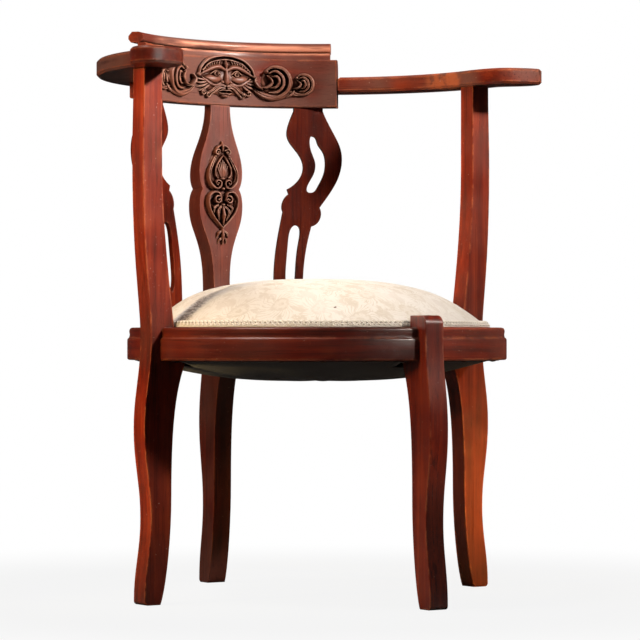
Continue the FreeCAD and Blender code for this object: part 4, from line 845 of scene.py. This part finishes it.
def inflate(piece, rings, spokes):
    """Let the cover settle under the stuffing's pressure, held at its tacked edge."""
    rest = np.array([v.co[:] for v in piece.data.vertices])
    pins = piece.vertex_groups.new(name="tacked")
    pins.add(range(1 + (rings - 2) * spokes, len(rest)), 1.0, "REPLACE")
    cloth = piece.modifiers.new("Cloth", "CLOTH")
    put(
        cloth.settings, quality=6, mass=0.3, tension_stiffness=20, compression_stiffness=20, shear_stiffness=8,
        bending_stiffness=0.8, use_pressure=True, uniform_pressure_force=PRESSURE, vertex_group_mass="tacked",
    )
    cloth.settings.effector_weights.gravity = 0.0
    cloth.collision_settings.use_self_collision = False
    scene = bpy.context.scene
    for number in range(1, SETTLE_FRAMES + 1):
        scene.frame_set(number)
    shaped = piece.evaluated_get(bpy.context.evaluated_depsgraph_get()).to_mesh()
    moved = np.array([v.co[:] for v in shaped.vertices])
    piece.modifiers.remove(cloth)
    piece.vertex_groups.clear()
    scene.frame_set(1)
    step = moved - rest
    length = np.linalg.norm(step, axis=1, keepdims=True)
    settled = rest + step * np.minimum(1.0, SETTLE_MOST / np.maximum(length, 1e-9))
    settled[:, 2] = np.minimum(settled[:, 2], SEAT_CROWN + SETTLE_MOST)
    piece.data.vertices.foreach_set("co", settled.ravel())
    piece.data.update()


def tube(path, radius):
    """Points and faces of a closed loop of round cord about the chair's axis."""
    sides, count = 6, len(path)
    path = np.array(path)
    ahead = np.roll(path, -1, 0) - np.roll(path, 1, 0)
    ahead /= np.linalg.norm(ahead, axis=1, keepdims=True)
    out = path - np.array([0, AXIS_Y, 0])
    out[:, 2] = 0
    out /= np.linalg.norm(out, axis=1, keepdims=True)
    up = np.cross(ahead, out)
    up /= np.linalg.norm(up, axis=1, keepdims=True)
    side = np.cross(up, ahead)
    angles = [TURN * turn / sides for turn in range(sides)]
    points = [path + radius * (math.cos(angle) * side + math.sin(angle) * up) for angle in angles]
    faces = []
    for place in range(count):
        here, after = place * sides, (place + 1) % count * sides
        for turn in range(sides):
            t = (turn + 1) % sides
            faces.append((here + turn, here + t, after + t, after + turn))
    return np.stack(points, 1).reshape(-1, 3), faces


def braid_piece():
    """Gimp: a flat band with three looped cords and two edge cords on it, glued over the tacks."""
    points, faces = [], []

    def add(new_points, new_faces):
        start = len(points)
        points.extend(map(tuple, new_points))
        faces.extend(tuple(i + start for i in f) for f in new_faces)

    def surface(share):
        """Radius and height of the band, from its lower edge to its upper one."""
        return SEAT_RADIUS + 0.0004 + 0.0011 - 0.0058 * share ** 1.3, RAIL_TOP + 0.0008 + 0.0080 * share

    count = BRAID_LOOPS * LOOP_POINTS
    for level, wave, phase, thick in (
        (0.27, 0.20, 0.0, 0.00075), (0.73, 0.20, 0.5, 0.00075), (0.5, 0.30, 0.25, 0.0006),
    ):
        path = []
        for place in range(count):
            turn = place / LOOP_POINTS + phase
            radius, height = surface(level + wave * math.sin(TURN * turn))
            lift = 0.0004 * math.cos(2 * TURN * turn) + 0.0010
            path.append(turned(radius + lift, TURN * place / count, height + 0.5 * lift))
        add(*tube(path, thick))
    for level in (0.04, 0.96):
        radius, height = surface(level)
        add(*tube([turned(radius + 0.0005, TURN * place / 720, height) for place in range(720)], 0.0008))
    columns, rows = 360, 5
    band, quads = [], []
    for column in range(columns):
        here, after = column * rows, (column + 1) % columns * rows
        for row in range(rows):
            radius, height = surface(row / (rows - 1))
            band.append(turned(radius, TURN * column / columns, height))
        for row in range(rows - 1):
            quads.append((here + row, after + row, after + row + 1, here + row + 1))
    add(band, quads)
    piece = mesh_piece("gimp_braid", points, faces, gimp("gimp"))
    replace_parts(piece, "seat_braid")


def bottom_piece():
    """The sagging dust cloth under the seat, tacked round the rail and cut out at the legs."""
    low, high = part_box("bottom_cloth")
    edge, top = high.x, high.z - 0.0006
    sag = high.z - low.z - 0.0016
    flat_from = edge - 0.014
    rings, spokes = 40, 160
    points = [(0, AXIS_Y, top - sag)]
    for ring in range(1, rings + 1):
        share = ring / rings
        near = min(1.0, edge * share / flat_from)
        drop = sag * (1 - near ** 2.6)
        for spoke in range(spokes):
            angle = TURN * (spoke + 0.5) / spokes
            fold = 0.0012 * math.sin(9 * angle + 4 * share) * near * (1 - near) * 4
            points.append(turned(edge * share, angle, top - drop - fold))
    leg_half, leg_in = 0.0155, RAIL_RADIUS - 0.042

    def beside_leg(index):
        x, y = abs(points[index][0]), abs(points[index][1] - AXIS_Y)
        return max(x, y) > leg_in and min(x, y) < leg_half

    faces = [
        (face[0], *face[:0:-1])  # turned over, to be seen from below
        for face in disc_faces(rings, spokes) if not any(beside_leg(i) for i in face)
    ]
    material = woven("dust_cloth", (0.024, 0.017, 0.018), (0.007, 0.005, 0.005), 0.0009)
    piece = mesh_piece("dust_cloth", points, faces, material)
    put(piece.modifiers.new("Thickness", "SOLIDIFY"), thickness=DUST_CLOTH_THICKNESS, offset=0.0)
    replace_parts(piece, "bottom_cloth")


def tack_piece():
    """Domed tack heads round the dust cloth."""
    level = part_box("bottom_cloth")[1].z - 0.0012
    sides = 14
    points, faces = [], []
    for place in range(TACKS):
        x, y, _ = turned(RAIL_RADIUS - 0.017, TURN * (place + 0.5) / TACKS, 0)
        first = len(points) + 1
        points.append((x, y, level - 0.0012))
        for share, drop in ((0.5, 0.0010), (0.85, 0.0006), (1.0, 0.0), (0.9, -0.0004)):
            reach = TACK_RADIUS * share
            for side in range(sides):
                turn = TURN * side / sides
                points.append((x + reach * math.cos(turn), y + reach * math.sin(turn), level - drop))
        for side in range(sides):
            after = (side + 1) % sides
            faces.append((first - 1, first + after, first + side))
            for a in (first, first + sides, first + 2 * sides):
                faces.append((a + side, a + after, a + sides + after, a + sides + side))
    mesh_piece("dust_cloth_tacks", points, faces, old_steel("tack_steel", (0.05, 0.05, 0.055)))


# Pieces
# The run of the grain, then shade (partly painted light and shade), edge abrasion (on the rails also painted
# highlights), old polish (partly painted sheen), gloss, height of a painted highlight band, and point of a
# patch partly painted highlight, as wood() takes them
WOODEN = {
    "front_leg": ("up", 1.20, 1.1, 0.05, 0.80),
    "left_arm_post": ("up", 1.05, 1.0, 0.20, 0.16),
    "right_arm_post": ("up", 1.20, 1.0, 0.42, 0.16),
    "back_post": ("up", 0.66, 0.6, 0.60, 0.20),
    "left_splat": ("up", 0.50, 0.6, 0.05, 0.12),
    "right_splat": ("up", 0.34, 0.6, 0.15, 0.12),
    # The rails' high edge values also paint highlight lines along their top rounding and bead
    "seat_rail_front_left": ("arc", 0.56, 1.9, 0.42, 0.40),
    "seat_rail_front_right": ("arc", 1.50, 1.8, 0.40, 0.30),
    "seat_rail_back_left": ("arc", 0.60, 1.4, 0.35, 0.20),
    "seat_rail_back_right": ("arc", 0.80, 1.4, 0.35, 0.20),
    "left_arm": ("arc", 0.44, 1.8, 1.30, 0.34),
    "right_arm": ("arc", 0.92, 1.4, 1.50, 0.18, None, (0.247, AXIS_Y + 0.038, 0.727)),
    "crest_rail": ("arc", 0.76, 0.8, 1.35, 0.13, CREST_TOP - 0.020),
}
# Width of the rounded edges, in metres
ARRIS = {"left_arm": 0.0022, "right_arm": 0.0022, "crest_rail": 0.0010}
OTHER_ARRIS = 0.0014
BEECH = (0.50, 0.33, 0.18)
JUTE = (0.42, 0.32, 0.19), (0.22, 0.15, 0.08), 0.002


def paint(name, material):
    slots = nodes[name].data.materials
    slots.clear()
    slots.append(material)


carving = carved_wood("carved_mahogany")
for seed, (name, (grain, *look)) in enumerate(WOODEN.items(), 1):
    paint(name, wood("mahogany_" + name, grain, seed, *look))
    soften_edges(nodes[name], ARRIS.get(name, OTHER_ARRIS))
paint("rail_dowels", plain_wood("beech_dowel", BEECH))
paint("arm_dowels", plain_wood("beech_arm_dowel", BEECH))
paint("bow_dowels", plain_wood("beech_bow_dowel", BEECH))
paint("crest_screws", old_steel("screw_steel", (0.30, 0.28, 0.26)))
paint("webbing_crosswise", woven("jute_crosswise", *JUTE))
paint("webbing_lengthwise", woven("jute_lengthwise", *JUTE))
paint("seat_hessian", woven("hessian", (0.45, 0.34, 0.20), (0.20, 0.14, 0.08), 0.0016))
paint("seat_stuffing", woven("wadding", (0.70, 0.65, 0.55), (0.45, 0.40, 0.32), 0.004))

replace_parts(mask_relief(), "crest_mask")
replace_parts(scroll_relief(-1), "crest_scroll_left")
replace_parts(scroll_relief(1), "crest_scroll_right")
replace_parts(cartouche_relief(), "post_cartouche")
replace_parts(drop_relief(), "post_drop")
seat_piece()
braid_piece()
bottom_piece()
tack_piece()


# Stage

STUDIO_LIGHT = 0.04


def floor_piece():
    """Pale paper: white to the eye, with the chair's shadow left in it, and plain white further off."""
    half = 14.0
    data = bpy.data.meshes.new("floor")
    corners = [(-half, -half, 0), (half, -half, 0), (half, half, 0), (-half, half, 0)]
    data.from_pydata(corners, [], [(0, 1, 2, 3)])
    g = Graph("floor_paper")
    path = g.node("LightPath").outputs
    seen = g.math("MAXIMUM", path["Is Camera Ray"], path["Is Transmission Ray"])
    plain = g.step(g.vector_math("LENGTH", g.place()), 0.45, 1.10, 0.89, 1.0)
    fibre = g.noise(g.place(), 160.0)
    paper = g.mix(g.step(fibre, 0.3, 0.7), (0.30, 0.295, 0.285), (0.34, 0.335, 0.33))
    g.finish(Base_Color=paper, Roughness=0.85, Specular_IOR_Level=0.2)
    blend = g.node("MixShader", Fac=g.times(seen, plain))
    g.wire(blend, {1: g.shader.outputs[0], 2: g.node("Emission").outputs[0]})
    g.wire(g.out, {0: blend.outputs[0]})
    data.materials.append(g.material)
    placed("floor", data)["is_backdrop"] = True


def facing(aim):
    """The rotation of a lamp or camera that looks along the aim."""
    return aim.to_track_quat("-Z", "Y").to_euler()


def area_light(name, place, target, size, power, colour, spread, glint=True):
    """A lamp of that size in metres, power in watts and spread in degrees. Without glint it isn't reflected."""
    lamp = put(
        bpy.data.lights.new(name, "AREA"), shape="RECTANGLE", size=size[0], size_y=size[1], energy=power,
        color=colour, spread=math.radians(spread),
    )
    aim = Vector(target) - Vector(place)
    put(placed(name, lamp), location=place, rotation_euler=facing(aim), visible_glossy=glint)


def world_light():
    """A white backdrop to the eye and a dim, even studio to the chair."""
    world = bpy.context.scene.world = bpy.data.worlds.new("studio")
    world.use_nodes = True
    tree = world.node_tree
    back = tree.nodes["Background"]
    back.inputs[0].default_value = (1, 1, 1, 1)
    path = tree.nodes.new("ShaderNodeLightPath")
    seen = put(tree.nodes.new("ShaderNodeMath"), operation="MAXIMUM")
    strength = tree.nodes.new("ShaderNodeMapRange")
    strength.inputs["To Min"].default_value = STUDIO_LIGHT
    for source, socket in (
        (path.outputs["Is Camera Ray"], seen.inputs[0]), (path.outputs["Is Transmission Ray"], seen.inputs[1]),
        (seen.outputs[0], strength.inputs["Value"]), (strength.outputs[0], back.inputs[1]),
    ):
        tree.links.new(source, socket)


def camera():
    """The photograph's view: level, low, long lens, from the front left."""
    distance, height, focal = 4.2577, 0.360, 172.8
    sight = Vector((0.5598, 0.8287, 0.0))
    yaw, pitch = math.radians(-0.056), math.radians(0.283)
    aim = Matrix.Rotation(yaw, 3, "Z") @ sight
    aim = (aim.normalized() * math.cos(pitch)) + Vector((0, 0, math.sin(pitch)))
    data = put(bpy.data.cameras.new("camera"), sensor_width=36.0, lens=focal, clip_end=50)
    place = AXIS - sight * distance + Vector((0, 0, height))
    bpy.context.scene.camera = put(placed("camera", data), location=place, rotation_euler=facing(aim))


floor_piece()
world_light()
area_light("key", (1.40, -2.70, 2.20), (-0.08, 0.02, 0.82), (0.4, 0.4), 6.0, (1.0, 0.93, 0.86), 21.5)
area_light("warm", (-2.60, 0.25, 0.85), (0.0, 0.0, 0.68), (0.4, 0.4), 1.6, (1.0, 0.72, 0.46), 22, glint=False)
area_light("top", (-1.1, 0.25, 2.8), (-0.07, -0.02, 0.45), (1.2, 0.6), 3.0, (1.0, 0.95, 0.90), 34)
area_light("ember", (-2.60, AXIS_Y, 0.66), (-0.27, AXIS_Y, 0.17), (0.08, 0.08), 0.46, (1.0, 0.74, 0.32), 15,
           glint=False)
area_light("low", (0.42, -1.40, 0.35), (0.31, -0.05, 0.14), (0.2, 0.2), 0.38, (1.0, 0.64, 0.20), 17)
area_light("glow", (1.20, -0.80, 0.34), (0.0, -0.29, 0.22), (0.08, 0.08), 0.016, (1.0, 0.45, 0.12), 6.5,
           glint=False)
camera()
bpy.context.scene.view_settings.view_transform = "Standard"

[[list(map(float, corner)) for corner in pair] for pair in (cad_box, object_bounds())]
